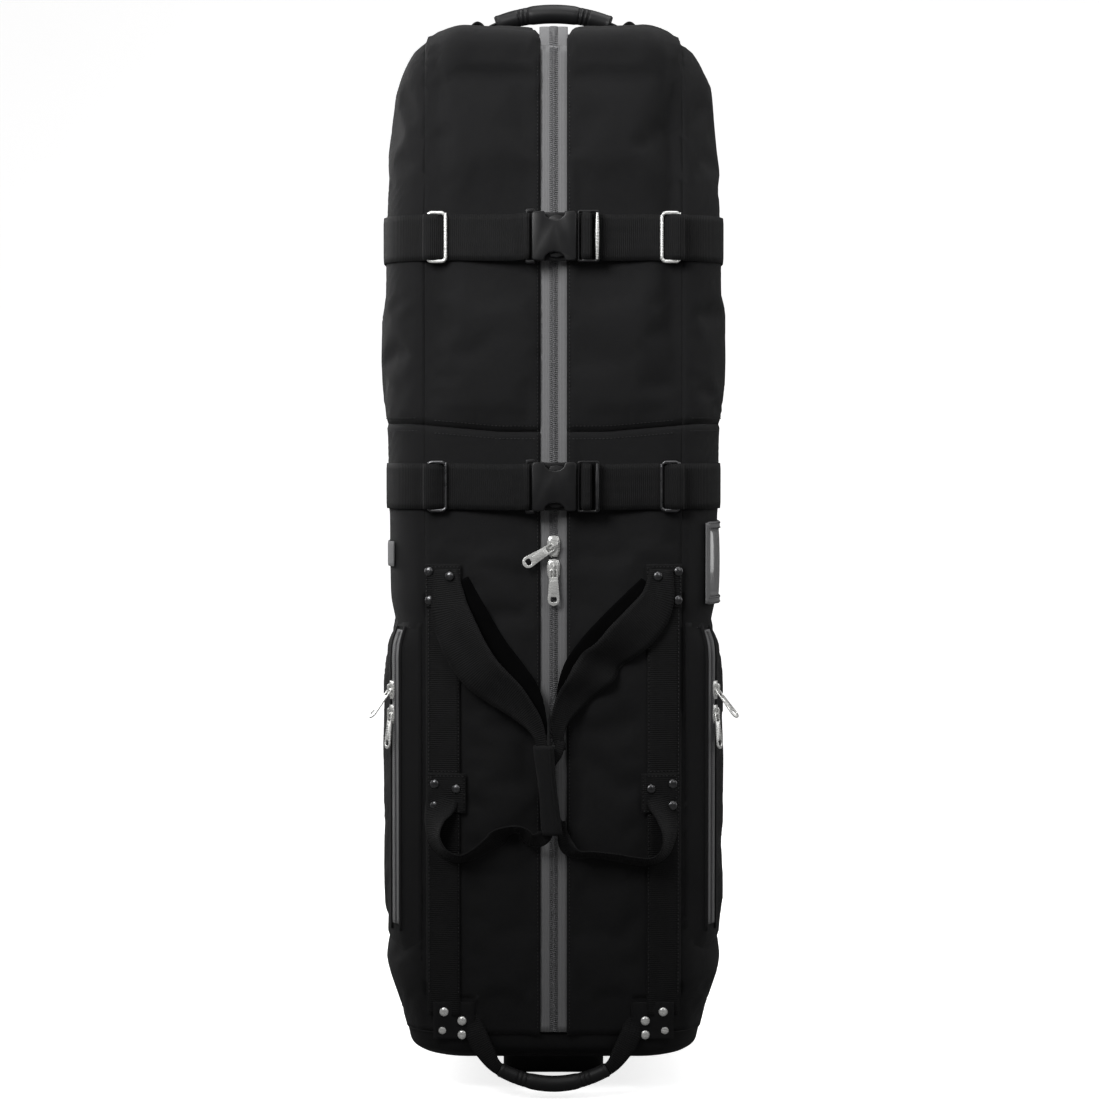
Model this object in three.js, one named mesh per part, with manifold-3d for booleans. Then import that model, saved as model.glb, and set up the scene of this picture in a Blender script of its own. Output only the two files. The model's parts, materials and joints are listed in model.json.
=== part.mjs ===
// Soft-sided golf travel case on two skate wheels, standing on its base.
// Millimetres. +Z runs up the case, -Y is the front with the main zipper, +X is the viewer's right.
// The origin is on the floor under the middle of the case.
import * as THREE from "three";
import { mergeVertices } from "three/addons/utils/BufferGeometryUtils.js";
import Module from "manifold-3d";

const wasm = await Module();
wasm.setup();

// ---- driving dimensions ----
const BODY_TOP = 1197; // top panel of the padded hood
const SEAM_Z = 742; // where the hood is sewn to the lower body
const TRAY_BOTTOM = 40; // underside of the moulded base
const TRAY_TOP = 70.7;
const FRONT_Y = -165; // outer face of the front panels
const BACK_Y = 165;
const WALL = 6; // padded fabric wall
const GAP = 0.35; // running gap between neighbouring pieces
const FLAP_HALF = 142; // half width of the two front flaps together
const FLAP_RETURN_Y = -110; // how far the flaps reach back over the top
const WEBBING = 50.8; // two inch strap
const STRAP_T = 2; // thickness of the webbing
const STRAP_HEIGHTS = { upper: 956, lower: 682 };
const WHEEL_R = 38;
const WHEEL_W = 24;
const WHEEL_X = 130;
const WHEEL_Y = 140;
const ZIP_BOTTOM = 73;
const ZIP_TOP = 1163;
const ZIP_HALF = 15; // half width of the visible zipper tape
const TAPE_FACE_Y = -168.6; // front of the zipper tape
const FRONT_CORNER = 60; // radius of the body's front corners in plan
const REAR_CORNER = 40;
const POCKET_BODY = 177; // half width of the body behind the side pockets
const POCKET_DEPTH = 9; // how far a side pocket stands out
const HOOD_HALF = 188; // half width of the padded hood
const LOWER_STRAP_HALF = 186.2; // half width of the body at the lower strap's top edge

// Level lists: [z, half width, front y, back y, front corner radius, rear corner radius]
const BODY_LEVELS = [
  [TRAY_TOP + GAP, 166.5, -163, 163, FRONT_CORNER, REAR_CORNER],
  [99, 172.5, FRONT_Y, BACK_Y, FRONT_CORNER, REAR_CORNER],
  [122, 176.5, FRONT_Y, BACK_Y, FRONT_CORNER, REAR_CORNER],
  [145, POCKET_BODY, FRONT_Y, BACK_Y, FRONT_CORNER, REAR_CORNER],
  [534, POCKET_BODY, FRONT_Y, BACK_Y, FRONT_CORNER, REAR_CORNER],
  [552, 183, FRONT_Y, BACK_Y, FRONT_CORNER, REAR_CORNER],
  [650, 184.8, FRONT_Y, BACK_Y, FRONT_CORNER, REAR_CORNER],
  [SEAM_Z - 0.5, 186.3, FRONT_Y, BACK_Y, FRONT_CORNER, REAR_CORNER],
  [SEAM_Z + 0.5, HOOD_HALF, FRONT_Y, BACK_Y, FRONT_CORNER, REAR_CORNER],
  [960, HOOD_HALF, FRONT_Y, BACK_Y, FRONT_CORNER, REAR_CORNER],
  [1007, 185, FRONT_Y, BACK_Y, FRONT_CORNER, REAR_CORNER],
  [1078, 176.5, FRONT_Y, BACK_Y, FRONT_CORNER, REAR_CORNER],
  [1125, 171.5, FRONT_Y, 164, FRONT_CORNER, REAR_CORNER],
  [1149, 166.5, FRONT_Y, 162, FRONT_CORNER, REAR_CORNER],
  [1173, 156.5, -163.5, 156, FRONT_CORNER, REAR_CORNER],
  [1185, 144.5, -159, 149, FRONT_CORNER, REAR_CORNER],
  [1193, 133, -149, 140, 55, REAR_CORNER],
  [BODY_TOP, 119, -134, 128, 50, REAR_CORNER],
];
const TRAY_LEVELS = [
  [TRAY_BOTTOM, 142, -136, 138, 45, 30],
  [TRAY_BOTTOM + 5, 151, -150, 150, 52, 36],
  [TRAY_BOTTOM + 14, 161, -160, 160, 58, 38],
  [TRAY_TOP, 165.5, -163, 163, FRONT_CORNER, REAR_CORNER],
];

// ---- solids from three.js geometry ----
function signedVolume(geometry) {
  const p = geometry.attributes.position;
  const order = geometry.index ? geometry.index.array : [...Array(p.count).keys()];
  const [a, b, c] = [new THREE.Vector3(), new THREE.Vector3(), new THREE.Vector3()];
  let six = 0;
  for (let i = 0; i < order.length; i += 3) {
    a.fromBufferAttribute(p, order[i]);
    b.fromBufferAttribute(p, order[i + 1]);
    c.fromBufferAttribute(p, order[i + 2]);
    six += a.dot(b.cross(c));
  }
  return six;
}

// A closed three.js geometry as a manifold-3d solid, turned to face outwards.
function solid(geometry) {
  const bare = new THREE.BufferGeometry();
  bare.setAttribute("position", geometry.attributes.position.clone());
  if (geometry.index) bare.setIndex(geometry.index.clone());
  const merged = mergeVertices(bare, 1e-4);
  const triVerts = new Uint32Array(merged.index.array);
  if (signedVolume(merged) < 0) triVerts.reverse();
  const vertProperties = merged.attributes.position.array;
  return new wasm.Manifold(new wasm.Mesh({ numProp: 3, vertProperties, triVerts }));
}

function geometryOf(made) {
  const m = made.getMesh();
  const g = new THREE.BufferGeometry();
  g.setAttribute("position", new THREE.BufferAttribute(new Float32Array(m.vertProperties), 3));
  g.setIndex(new THREE.BufferAttribute(new Uint32Array(m.triVerts), 1));
  g.computeVertexNormals();
  return g;
}

function box(x0, x1, y0, y1, z0, z1) {
  const g = new THREE.BoxGeometry(x1 - x0, y1 - y0, z1 - z0);
  return solid(g.translate((x0 + x1) / 2, (y0 + y1) / 2, (z0 + z1) / 2));
}

const union = (...parts) => parts.reduce((a, b) => a.add(b));

// Closed rings of the same point count, joined one to the next and capped with a fan at both ends.
function loft(rings) {
  const n = rings[0].length;
  const flat = rings.flat().flatMap((p) => [p.x, p.y, p.z]);
  const index = [];
  for (let r = 0; r + 1 < rings.length; r++)
    for (let i = 0; i < n; i++) {
      const [a, b] = [r * n + i, r * n + ((i + 1) % n)];
      index.push(a, b, b + n, a, b + n, a + n);
    }
  const last = (rings.length - 1) * n;
  for (let i = 1; i + 1 < n; i++) {
    index.push(0, i + 1, i);
    index.push(last, last + i, last + i + 1);
  }
  const g = new THREE.BufferGeometry();
  g.setAttribute("position", new THREE.BufferAttribute(new Float32Array(flat), 3));
  g.setIndex(index);
  return solid(g);
}

// The plan outline of the body at one level, as a ring of points.
function bodyRing([z, half, front, back, rFront, rBack], inset = 0) {
  const [w, f, b] = [half - inset, front + inset, back - inset];
  const corners = [
    [w - rFront + inset, f + rFront - inset, rFront - inset, -90, 7],
    [w - rBack + inset, b - rBack + inset, rBack - inset, 0, 5],
    [-w + rBack - inset, b - rBack + inset, rBack - inset, 90, 5],
    [-w + rFront - inset, f + rFront - inset, rFront - inset, 180, 7],
  ];
  return corners.flatMap(([cx, cy, r, start, steps]) =>
    Array.from({ length: steps + 1 }, (_, i) => {
      const a = THREE.MathUtils.degToRad(start + (90 * i) / steps);
      return new THREE.Vector3(cx + r * Math.cos(a), cy + r * Math.sin(a), z);
    }),
  );
}

const shape = (points) => new THREE.Shape(points.map(([x, y]) => new THREE.Vector2(x, y)));

function roundedShape(x0, x1, y0, y1, r) {
  const s = new THREE.Shape();
  s.moveTo(x0 + r, y0);
  s.lineTo(x1 - r, y0);
  s.absarc(x1 - r, y0 + r, r, -Math.PI / 2, 0);
  s.lineTo(x1, y1 - r);
  s.absarc(x1 - r, y1 - r, r, 0, Math.PI / 2);
  s.lineTo(x0 + r, y1);
  s.absarc(x0 + r, y1 - r, r, Math.PI / 2, Math.PI);
  s.lineTo(x0, y0 + r);
  s.absarc(x0 + r, y0 + r, r, Math.PI, 1.5 * Math.PI);
  return s;
}

const extrude = (s, depth, curveSegments = 4) =>
  new THREE.ExtrudeGeometry(s, { depth, bevelEnabled: false, curveSegments });

// A shape drawn in plan, extruded up from z0 to z1.
const upright = (s, z0, z1) => solid(extrude(s, z1 - z0).translate(0, 0, z0));

// A shape drawn in X and Z, extruded from yFront to yBack.
function facing(s, yFront, yBack, curveSegments) {
  const g = extrude(s, yBack - yFront, curveSegments).rotateX(Math.PI / 2);
  return solid(g.translate(0, yBack, 0));
}

// A shape drawn in Y and Z, extruded from x0 to x1.
function sideways(s, x0, x1, curveSegments) {
  const g = extrude(s, x1 - x0, curveSegments).rotateX(Math.PI / 2).rotateZ(Math.PI / 2);
  return solid(g.translate(x0, 0, 0));
}

// A round bar along X.
function roundBar(x0, x1, y, z, r, segments = 20) {
  const g = new THREE.CylinderGeometry(r, r, x1 - x0, segments).rotateZ(Math.PI / 2);
  return solid(g.translate((x0 + x1) / 2, y, z));
}

const mirrorX = (geometry) => {
  const made = new THREE.BufferGeometry();
  made.setAttribute("position", geometry.attributes.position.clone());
  made.setIndex([...geometry.index.array].reverse());
  made.scale(-1, 1, 1);
  made.computeVertexNormals();
  return made;
};

// ---- materials ----
const paint = (color, roughness, metalness = 0) =>
  new THREE.MeshStandardMaterial({ color, roughness, metalness });
const cloth = paint(0x141415, 0.9);
const webbing = paint(0x161617, 0.8);
const grey = paint(0x6d6d6f, 0.85);
const blackPlastic = paint(0x1a1a1b, 0.45);
const blackRubber = paint(0x1c1c1d, 0.6);
const chrome = paint(0xd8d8d8, 0.25, 1);
const blackMetal = paint(0x2a2a2b, 0.4, 1);
const polyurethane = paint(0x222223, 0.5);
const vinyl = paint(0x9a9a9c, 0.3);

const golfCase = new THREE.Group();

function place(name, made, material, group = golfCase) {
  const mesh = new THREE.Mesh(made.isBufferGeometry ? made : geometryOf(made), material);
  mesh.name = name;
  group.add(mesh);
  return mesh;
}

// The same piece on both sides: made for +X, mirrored for -X.
function placePair(name, made, material) {
  const right = geometryOf(made);
  place(name + "_right", right, material);
  place(name + "_left", mirrorX(right), material);
}

// ---- shells and flaps ----
function addShells() {
  const outer = loft(BODY_LEVELS.map((l) => bodyRing(l)));
  const innerLevels = BODY_LEVELS.map((level) => [...level]);
  innerLevels[0][0] -= 5;
  innerLevels[innerLevels.length - 1][0] -= WALL;
  innerLevels[innerLevels.length - 2][0] -= WALL / 2;
  const inner = loft(innerLevels.map((l) => bodyRing(l, WALL)));
  const skin = outer.subtract(inner);

  // The front opening: full width above the lower handle, narrower between its rivets.
  const opening = (grow) =>
    union(
      box(-FLAP_HALF - grow, FLAP_HALF + grow, -300, FLAP_RETURN_Y + grow, 112 - grow, 1300),
      box(-86 - grow, 86 + grow, -300, FLAP_RETURN_Y + grow, ZIP_BOTTOM - grow, 120),
    );
  const flaps = skin.intersect(opening(0));
  // Over the top the flaps' inner corners are cut away, so the pair clears itself as it opens.
  const topNotch = box(-13, 13, -158, 0, 1150, 1300);
  const rightFlap = flaps.intersect(box(2 * GAP, 400, -300, 0, 0, 1300)).subtract(topNotch);
  placePair("front_flap", rightFlap, cloth);

  const fixed = skin.subtract(opening(GAP)).subtract(wheelRecess(1)).subtract(wheelRecess(-1));
  place("lower_shell", fixed.intersect(box(-400, 400, -300, 300, 0, SEAM_Z - GAP)), cloth);
  place("padded_hood", fixed.intersect(box(-400, 400, -300, 300, SEAM_Z + GAP, 1300)), cloth);
}

// ---- base, wheels and foot ----
const AXLE_R = 4;
const BEARING_BORE = 4.12;
const HOUSING_HALF = 18; // half the outside width of a wheel housing
const HOUSING_WALL = 4;
const ARCH_R = 46; // outside radius of the housing round the wheel
const TRAY_WALL = 5;
const FOOT = { half: 58, front: -44, back: 8, corner: 10 };

// The room a wheel housing takes out of the tray and the lower shell; side is 1 or -1.
function wheelRecess(side) {
  const x0 = side * WHEEL_X - HOUSING_HALF - GAP;
  const x1 = side * WHEEL_X + HOUSING_HALF + GAP;
  const arch = roundBar(x0, x1, WHEEL_Y, WHEEL_R, ARCH_R + GAP, 32);
  return union(arch, box(x0, x1, WHEEL_Y, 220, 0, WHEEL_R + ARCH_R + GAP));
}

function addBase() {
  const raised = TRAY_LEVELS.map(([z, ...rest], i) => [z + TRAY_WALL + (i ? 0 : 0.2), ...rest]);
  const outside = loft(TRAY_LEVELS.map((l) => bodyRing(l)));
  const tub = outside.subtract(loft(raised.map((l) => bodyRing(l, TRAY_WALL))));
  const nutRoom = (side) => {
    const x = side * (WHEEL_X - HOUSING_HALF - 3);
    return box(x - 4.5, x + 4.5, WHEEL_Y - 9, WHEEL_Y + 9, 0, 48);
  };
  const cuts = union(wheelRecess(1), wheelRecess(-1), nutRoom(1), nutRoom(-1));
  place("base_tray", tub.subtract(cuts), blackPlastic);
  const foot = roundedShape(-FOOT.half, FOOT.half, FOOT.front, FOOT.back, FOOT.corner);
  place("front_foot", upright(foot, 0, TRAY_BOTTOM - GAP), blackRubber);
  placePair("wheel_housing", wheelHousing(), blackPlastic);
  addWheels();
}

function wheelHousing() {
  const [x0, x1] = [WHEEL_X - HOUSING_HALF, WHEEL_X + HOUSING_HALF];
  const arch = roundBar(x0, x1, WHEEL_Y, WHEEL_R, ARCH_R, 32);
  const cheekFoot = box(x0, x1, WHEEL_Y - 16, WHEEL_Y + 16, 22, WHEEL_R);
  const lowerHalf = box(x0 - 1, x1 + 1, 0, 300, -20, WHEEL_R - 8);
  const behind = box(x0 - 1, x1 + 1, BACK_Y + 3, 300, -20, 200);
  const outerShape = union(arch.subtract(lowerHalf).subtract(behind), cheekFoot);
  const [in0, in1] = [x0 + HOUSING_WALL, x1 - HOUSING_WALL];
  const well = roundBar(in0, in1, WHEEL_Y, WHEEL_R, WHEEL_R + 4, 32);
  const below = box(in0, in1, 0, 300, -20, WHEEL_R);
  const axleHole = roundBar(x0 - 2, x1 + 2, WHEEL_Y, WHEEL_R, 4.3, 16);
  return outerShape.subtract(well).subtract(below).subtract(axleHole);
}

function addWheels() {
  const half = WHEEL_W / 2;
  const profile = [
    [11.3, -half],
    [26, -half],
    [28, -half + 2],
    [32, -half],
    [36, -half + 3],
    [WHEEL_R, -half + 8],
    [WHEEL_R, half - 8],
    [36, half - 3],
    [32, half],
    [28, half - 2],
    [26, half],
    [11.3, half],
    [11.3, -half],
  ].map(([r, h]) => new THREE.Vector2(r, h));
  const tyre = new THREE.LatheGeometry(profile, 28).rotateZ(Math.PI / 2);
  placePair("wheel", solid(tyre.translate(WHEEL_X, WHEEL_Y, WHEEL_R)), polyurethane);

  const sleeve = [
    [BEARING_BORE, -13],
    [11, -13],
    [11, 13],
    [BEARING_BORE, 13],
    [BEARING_BORE, -13],
  ].map(([r, h]) => new THREE.Vector2(r, h));
  const bearing = new THREE.LatheGeometry(sleeve, 32).rotateZ(Math.PI / 2);
  placePair("wheel_bearing", solid(bearing.translate(WHEEL_X, WHEEL_Y, WHEEL_R)), chrome);

  const outside = WHEEL_X + HOUSING_HALF;
  const inside = WHEEL_X - HOUSING_HALF;
  const axle = union(
    roundBar(inside - 4, outside + 2, WHEEL_Y, WHEEL_R, AXLE_R, 24),
    roundBar(outside + GAP, outside + 5, WHEEL_Y, WHEEL_R, 7.5, 6),
    roundBar(inside - 5.5, inside - GAP, WHEEL_Y, WHEEL_R, 6.5, 6),
  );
  placePair("wheel_axle", axle, chrome);
}

// ---- zippers ----
// A slider in its own frame: the surface is y = 0, outwards is -Y, and it travels along Z.
// lean turns the bridge, and the pull on it, in the plane of the zipper.
const SLIDER = { half: 6.5, low: -12, high: 11, face: -5, barBack: -7.8, barFront: -9.7 };

function sliderSolid(lean) {
  const outline = shape([
    [-3.5, SLIDER.low],
    [3.5, SLIDER.low],
    [SLIDER.half, -4],
    [SLIDER.half, 6],
    [4.5, SLIDER.high],
    [-4.5, SLIDER.high],
    [-SLIDER.half, 6],
    [-SLIDER.half, -4],
  ]);
  const base = facing(outline, SLIDER.face, -GAP);
  const bridge = union(
    box(-1.2, 1.2, SLIDER.barFront, SLIDER.face + 0.5, 4.5, 6),
    box(-1.2, 1.2, SLIDER.barFront, SLIDER.face + 0.5, -6, -4.5),
    box(-1.2, 1.2, SLIDER.barFront, SLIDER.barBack, -6, 6),
  );
  return base.add(bridge.rotate([0, lean, 0]));
}

// The pull tab hangs from its cross bar at z = 0, under the slider's bridge.
const PULL = { axisY: -6.3, thick: 1.8, length: 40, neck: 4.6, half: 6.6 };

function pullSolid() {
  const s = new THREE.Shape();
  const end = -(PULL.length - PULL.half);
  s.moveTo(-PULL.neck, 0.9);
  s.lineTo(-PULL.neck, -11);
  s.lineTo(-PULL.half, end);
  s.absarc(0, end, PULL.half, Math.PI, 2 * Math.PI);
  s.lineTo(PULL.neck, -11);
  s.lineTo(PULL.neck, 0.9);
  s.closePath();
  s.holes.push(new THREE.Path(roundedShape(-3, 3, -8.6, -0.9, 0.4).getPoints(2)));
  s.holes.push(new THREE.Path(roundedShape(-3.6, 3.6, end - 2.4, end + 3, 1.6).getPoints(2)));
  return facing(s, PULL.axisY - PULL.thick / 2, PULL.axisY + PULL.thick / 2, 6);
}

// A slider and its pull on a zipper at `at`, whose outward normal is turned by `turn` about Z from -Y.
function addSlider(name, at, turn, lean = 0, lift = 0) {
  const seat = new THREE.Group();
  seat.position.set(...at);
  seat.rotation.z = THREE.MathUtils.degToRad(turn);
  golfCase.add(seat);
  place(name + "_slider", sliderSolid(lean), chrome, seat);
  const pull = place(name + "_pull", geometryOf(pullSolid()).translate(0, -PULL.axisY, 0), chrome, seat);
  pull.position.y = PULL.axisY;
  pull.rotation.order = "YXZ";
  pull.rotation.y = THREE.MathUtils.degToRad(lean);
  pull.rotation.x = THREE.MathUtils.degToRad(-lift);
}

function addMainZipper() {
  placePair("zipper_tape", box(0.5, ZIP_HALF, TAPE_FACE_Y, FRONT_Y - GAP, ZIP_BOTTOM, ZIP_TOP), grey);
  addSlider("main_upper", [0, TAPE_FACE_Y, 616], 0, 58);
  addSlider("main_lower", [0, TAPE_FACE_Y, 590], 0, 0);
}

// ---- side pockets ----
const POCKET = { low: 150, high: 530, corner: 66, front: -140, back: 130, hem: 1.5, slope: 18 };
const SIDE_ZIP_ANGLE = 60; // the pocket zipper sits on the corner, facing this far round from the front

function addPockets() {
  const cornerGrowth = (POCKET.corner - FRONT_CORNER) / POCKET_DEPTH;
  const level = (z, grow) => {
    const corner = FRONT_CORNER + grow * cornerGrowth;
    return [z, POCKET_BODY + grow, FRONT_Y - 0.01, BACK_Y, corner, REAR_CORNER];
  };
  const levels = [
    level(POCKET.low, POCKET.hem),
    level(POCKET.low + POCKET.slope, POCKET_DEPTH),
    level(POCKET.high - POCKET.slope, POCKET_DEPTH),
    level(POCKET.high, POCKET.hem),
  ];
  const pouch = loft(levels.map((l) => bodyRing(l)));
  const cleared = loft([level(POCKET.low - 5, GAP), level(POCKET.high + 5, GAP)].map((l) => bodyRing(l)));
  const side = box(150, 300, POCKET.front, POCKET.back, 0, 1000);
  placePair("side_pocket", pouch.intersect(side).subtract(cleared), cloth);

  const angle = THREE.MathUtils.degToRad(SIDE_ZIP_ANGLE);
  const x = POCKET_BODY + POCKET_DEPTH - POCKET.corner * (1 - Math.sin(angle));
  const y = FRONT_Y + POCKET.corner - POCKET.corner * Math.cos(angle);
  const off = 0.6; // the slider runs this far above the pocket's face
  for (const [side, word] of [
    [1, "right"],
    [-1, "left"],
  ]) {
    const at = [side * (x + off * Math.sin(angle)), y - off * Math.cos(angle)];
    addSlider(`pocket_${word}_upper`, [...at, 454], side * SIDE_ZIP_ANGLE, 0, 40);
    addSlider(`pocket_${word}_lower`, [...at, 427], side * SIDE_ZIP_ANGLE, 0, 6);
  }
}

// ---- compression straps ----
// A band of webbing drawn in plan: the centre line is offset by half the thickness to each side.
function band(points, z, thickness = STRAP_T) {
  const line = points.map(([x, y]) => new THREE.Vector2(x, y));
  const normals = line.map((p, i) => {
    const before = line[Math.max(i - 1, 0)];
    const after = line[Math.min(i + 1, line.length - 1)];
    const d = after.clone().sub(before).normalize();
    return new THREE.Vector2(-d.y, d.x).multiplyScalar(thickness / 2);
  });
  const left = line.map((p, i) => p.clone().add(normals[i]));
  const right = line.map((p, i) => p.clone().sub(normals[i]));
  return upright(new THREE.Shape([...left, ...right.reverse()]), z - WEBBING / 2, z + WEBBING / 2);
}

const BUCKLE = { left: -30, mouth: 25, right: 50, half: 30.5, front: -196, back: -180.4 };

function buckleSocket(z) {
  const { left, mouth, half, front, back } = BUCKLE;
  const outer = facing(roundedShape(left, mouth, z - half, z + half, 4), front, back, 3);
  const cavity = box(-12, mouth + 1, front + 3.5, back - 3.3, z - 24, z + 24);
  const slot = box(left + 2.6, left + 8.6, front - 1, back + 1, z - 26, z + 26);
  const sideWindow = (s) => {
    const [z0, z1] = s > 0 ? [z + 21, z + 40] : [z - 40, z - 21];
    return box(-8, 16, front + 3.5, back - 3.3, z0, z1);
  };
  return outer.subtract(cavity).subtract(slot).subtract(sideWindow(1)).subtract(sideWindow(-1));
}

function bucklePlug(z) {
  const { mouth, right, half, front, back } = BUCKLE;
  const plate = facing(roundedShape(mouth + 0.6, right, z - half, z + half, 4), front + 2, back - 2.9, 3);
  const slots = union(
    box(mouth + 6, mouth + 11, front, back, z - 26, z + 26),
    box(mouth + 15, mouth + 20, front, back, z - 26, z + 26),
  );
  const [yF, yB] = [front + 4.5, back - 4.3];
  const prong = (s) => {
    const [a, b] = [z + s * 14, z + s * 20];
    const [c, d] = [z + s * 19, z + s * 23.6];
    return union(
      box(-6, mouth + 1.6, yF, yB, Math.min(a, b), Math.max(a, b)),
      box(-6, 9, yF, yB, Math.min(c, d), Math.max(c, d)),
    );
  };
  return union(plate.subtract(slots), prong(1), prong(-1), box(2, mouth + 1.6, yF, yB, z - 3, z + 3));
}

function adjusterRing(z) {
  const outer = roundedShape(117, 141, z - 30, z + 30, 4);
  outer.holes.push(new THREE.Path(roundedShape(121, 137, z - 26.4, z + 26.4, 1.5).getPoints(2)));
  return facing(outer, -176.4, -173.2, 3);
}

function addCompressionStraps() {
  const strapOver = { upper: [chrome, HOOD_HALF], lower: [blackMetal, LOWER_STRAP_HALF] };
  for (const [word, z] of Object.entries(STRAP_HEIGHTS)) {
    const [ringFinish, bodyHalf] = strapOver[word];
    const leftLine = [
      [-140.6, -169.6],
      [-104, -170.9],
      [-62, -178.8],
      [-20, -178.8],
    ];
    const rightLine = [
      [27, -182],
      [62, -182],
      [104, -170.9],
      [140.6, -169.6],
    ];
    place(`${word}_strap_left`, band(leftLine, z), webbing);
    place(`${word}_strap_right`, band(rightLine, z), webbing);
    place(`${word}_buckle_socket`, buckleSocket(z), blackPlastic);
    place(`${word}_buckle_plug`, bucklePlug(z), blackPlastic);
    placePair(`${word}_adjuster`, adjusterRing(z), ringFinish);

    const reach = FRONT_CORNER + 1.9;
    const sideLine = Array.from({ length: 7 }, (_, i) => {
      const a = THREE.MathUtils.degToRad(19 + (71 * i) / 6);
      return [bodyHalf - FRONT_CORNER + reach * Math.sin(a), FRONT_Y + FRONT_CORNER - reach * Math.cos(a)];
    });
    sideLine.push([bodyHalf + 1.9, 100]);
    placePair(`${word}_side_strap`, band(sideLine, z), webbing);
  }
}

// ---- handles ----
// A bar of rectangular section along frames [x, y, z, width, thickness], all in a plane facing -Y.
function ribbon(frames) {
  const points = frames.map(([x, y, z]) => new THREE.Vector3(x, y, z));
  return loft(
    frames.map(([, , , width, thickness], i) => {
      const before = points[Math.max(i - 1, 0)];
      const after = points[Math.min(i + 1, points.length - 1)];
      const along = after.clone().sub(before).setY(0).normalize();
      const across = new THREE.Vector3(-along.z, 0, along.x).multiplyScalar(width / 2);
      const deep = new THREE.Vector3(0, thickness / 2, 0);
      const p = points[i];
      return [
        p.clone().add(across).add(deep),
        p.clone().sub(across).add(deep),
        p.clone().sub(across).sub(deep),
        p.clone().add(across).sub(deep),
      ];
    }),
  );
}

// A tube of elliptical section along an arch in X and Z at depth y.
function archTube(y, arch, halfSpan, inPlane, across, steps = 12, segments = 14) {
  return loft(
    Array.from({ length: steps + 1 }, (_, i) => {
      const x = -halfSpan + (2 * halfSpan * i) / steps;
      const slope = arch(x + 0.5) - arch(x - 0.5);
      const normal = new THREE.Vector3(-slope, 0, 1).normalize();
      return Array.from({ length: segments }, (_, k) => {
        const a = (2 * Math.PI * k) / segments;
        const p = new THREE.Vector3(x, y, arch(x)).addScaledVector(normal, inPlane * Math.cos(a));
        return p.setY(y + across * Math.sin(a));
      });
    }),
  );
}

function addTopHandle() {
  const arch = (x) => 1227 - 13 * (x / 68) ** 2;
  const feet = (side) => [
    [side * 104, 0, 1202.5, 4, 7],
    [side * 90, 0, 1205, 4, 9],
    [side * 76, 0, 1211.4, 3, 22],
  ];
  const middle = [-66, -50, -34, -17, 0, 17, 34, 50, 66].map((x) => [x, 0, arch(x), 3, 18]);
  place("top_handle_strap", ribbon([...feet(-1), ...middle, ...feet(1).reverse()]), webbing);
  const channel = archTube(0, arch, 66, 3.2, 12.5, 16, 10);
  place("top_handle_grip", archTube(0, arch, 65, 10.8, 14).subtract(channel), blackRubber);
}

function addBottomHandle() {
  const y = -171.8;
  const arch = (x) => 16 + 14 * (x / 66) ** 2;
  const leg = (side) => [
    [side * 108, y, 64, 34, 3],
    [side * 98, y, 50, 30, 3],
    [side * 82, y, 38.5, 20, 3],
  ];
  const middle = [-66, -50, -34, -17, 0, 17, 34, 50, 66].map((x) => [x, y, arch(x), 12, 3]);
  place("bottom_handle_strap", ribbon([...leg(-1), ...middle, ...leg(1).reverse()]), webbing);
  const channel = archTube(y, arch, 65, 8.4, 2.9, 16, 10);
  place("bottom_handle_grip", archTube(y, arch, 64, 11.6, 9.5).subtract(channel), blackRubber);
}

// A riveted anchor: a plate with rivet heads standing on it; rivets are [x, z] pairs.
function anchor(plate, rivets, back = FRONT_Y - GAP) {
  const heads = rivets.map(([x, z]) => {
    const head = new THREE.CylinderGeometry(4.6, 3.2, 2.4, 12);
    return solid(head.translate(x, back - 2.9, z));
  });
  return union(facing(plate, back - 2, back, 2), ...heads);
}

function addCarryHandles() {
  const upperPlate = roundedShape(103, FLAP_HALF - 0.5, 548, 594, 3);
  const upperRivets = [
    [136, 587],
    [112, 582],
    [136, 556],
  ];
  placePair("carry_anchor_upper", anchor(upperPlate, upperRivets), blackMetal);
  const lowerPlate = roundedShape(98, 137, 320, 362, 3);
  const lowerRivets = [
    [131, 352],
    [108, 347],
    [131, 328],
  ];
  placePair("carry_anchor_lower", anchor(lowerPlate, lowerRivets), blackMetal);
  const basePlate = roundedShape(89, 134, 69.5, 106, 3);
  const baseRivets = [
    [124, 98],
    [101, 93],
    [125, 78],
    [101, 76],
  ];
  placePair("bottom_anchor", anchor(basePlate, baseRivets), blackMetal);

  // Each strap leaves its upper anchor, crosses to the wrap, and comes back to the lower anchor.
  const carry = (side, gripX, gripY) =>
    ribbon([
      [side * 117, -171.6, 546, 22, 3],
      [side * 104, -172.4, 510, 40, 3],
      [side * 76, -176, 470, 42, 3],
      [side * 48, -180, 440, 32, 3],
      [side * 24, gripY, 418, 14, 4],
      [side * gripX, gripY, 402, 9, 5],
      [side * gripX, gripY, 299, 9, 5],
      [side * 24, gripY, 284, 14, 4],
      [side * 54, -181, 278, 22, 4],
      [side * 88, -176, 277, 22, 4],
      [side * 112, -172.6, 290, 22, 4],
      [side * 118, -171.8, 316, 22, 3],
    ]);
  place("carry_strap_left", carry(-1, 12, -193), webbing);
  place("carry_strap_right", carry(1, 8.5, -180.9), webbing);
  const wrap = facing(roundedShape(-21, 8, 302, 398, 3), -205, -184.6, 3);
  place("hand_wrap", wrap.subtract(box(-17.5, 4.5, -201.5, -188, 290, 410)), webbing);
}

// ---- small side items ----
function addSideItems() {
  const [inner, outer] = [185.2, 186.9];
  place("id_window", sideways(roundedShape(-98, -28, 566, 640, 5), inner, outer, 3), vinyl);
}

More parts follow.
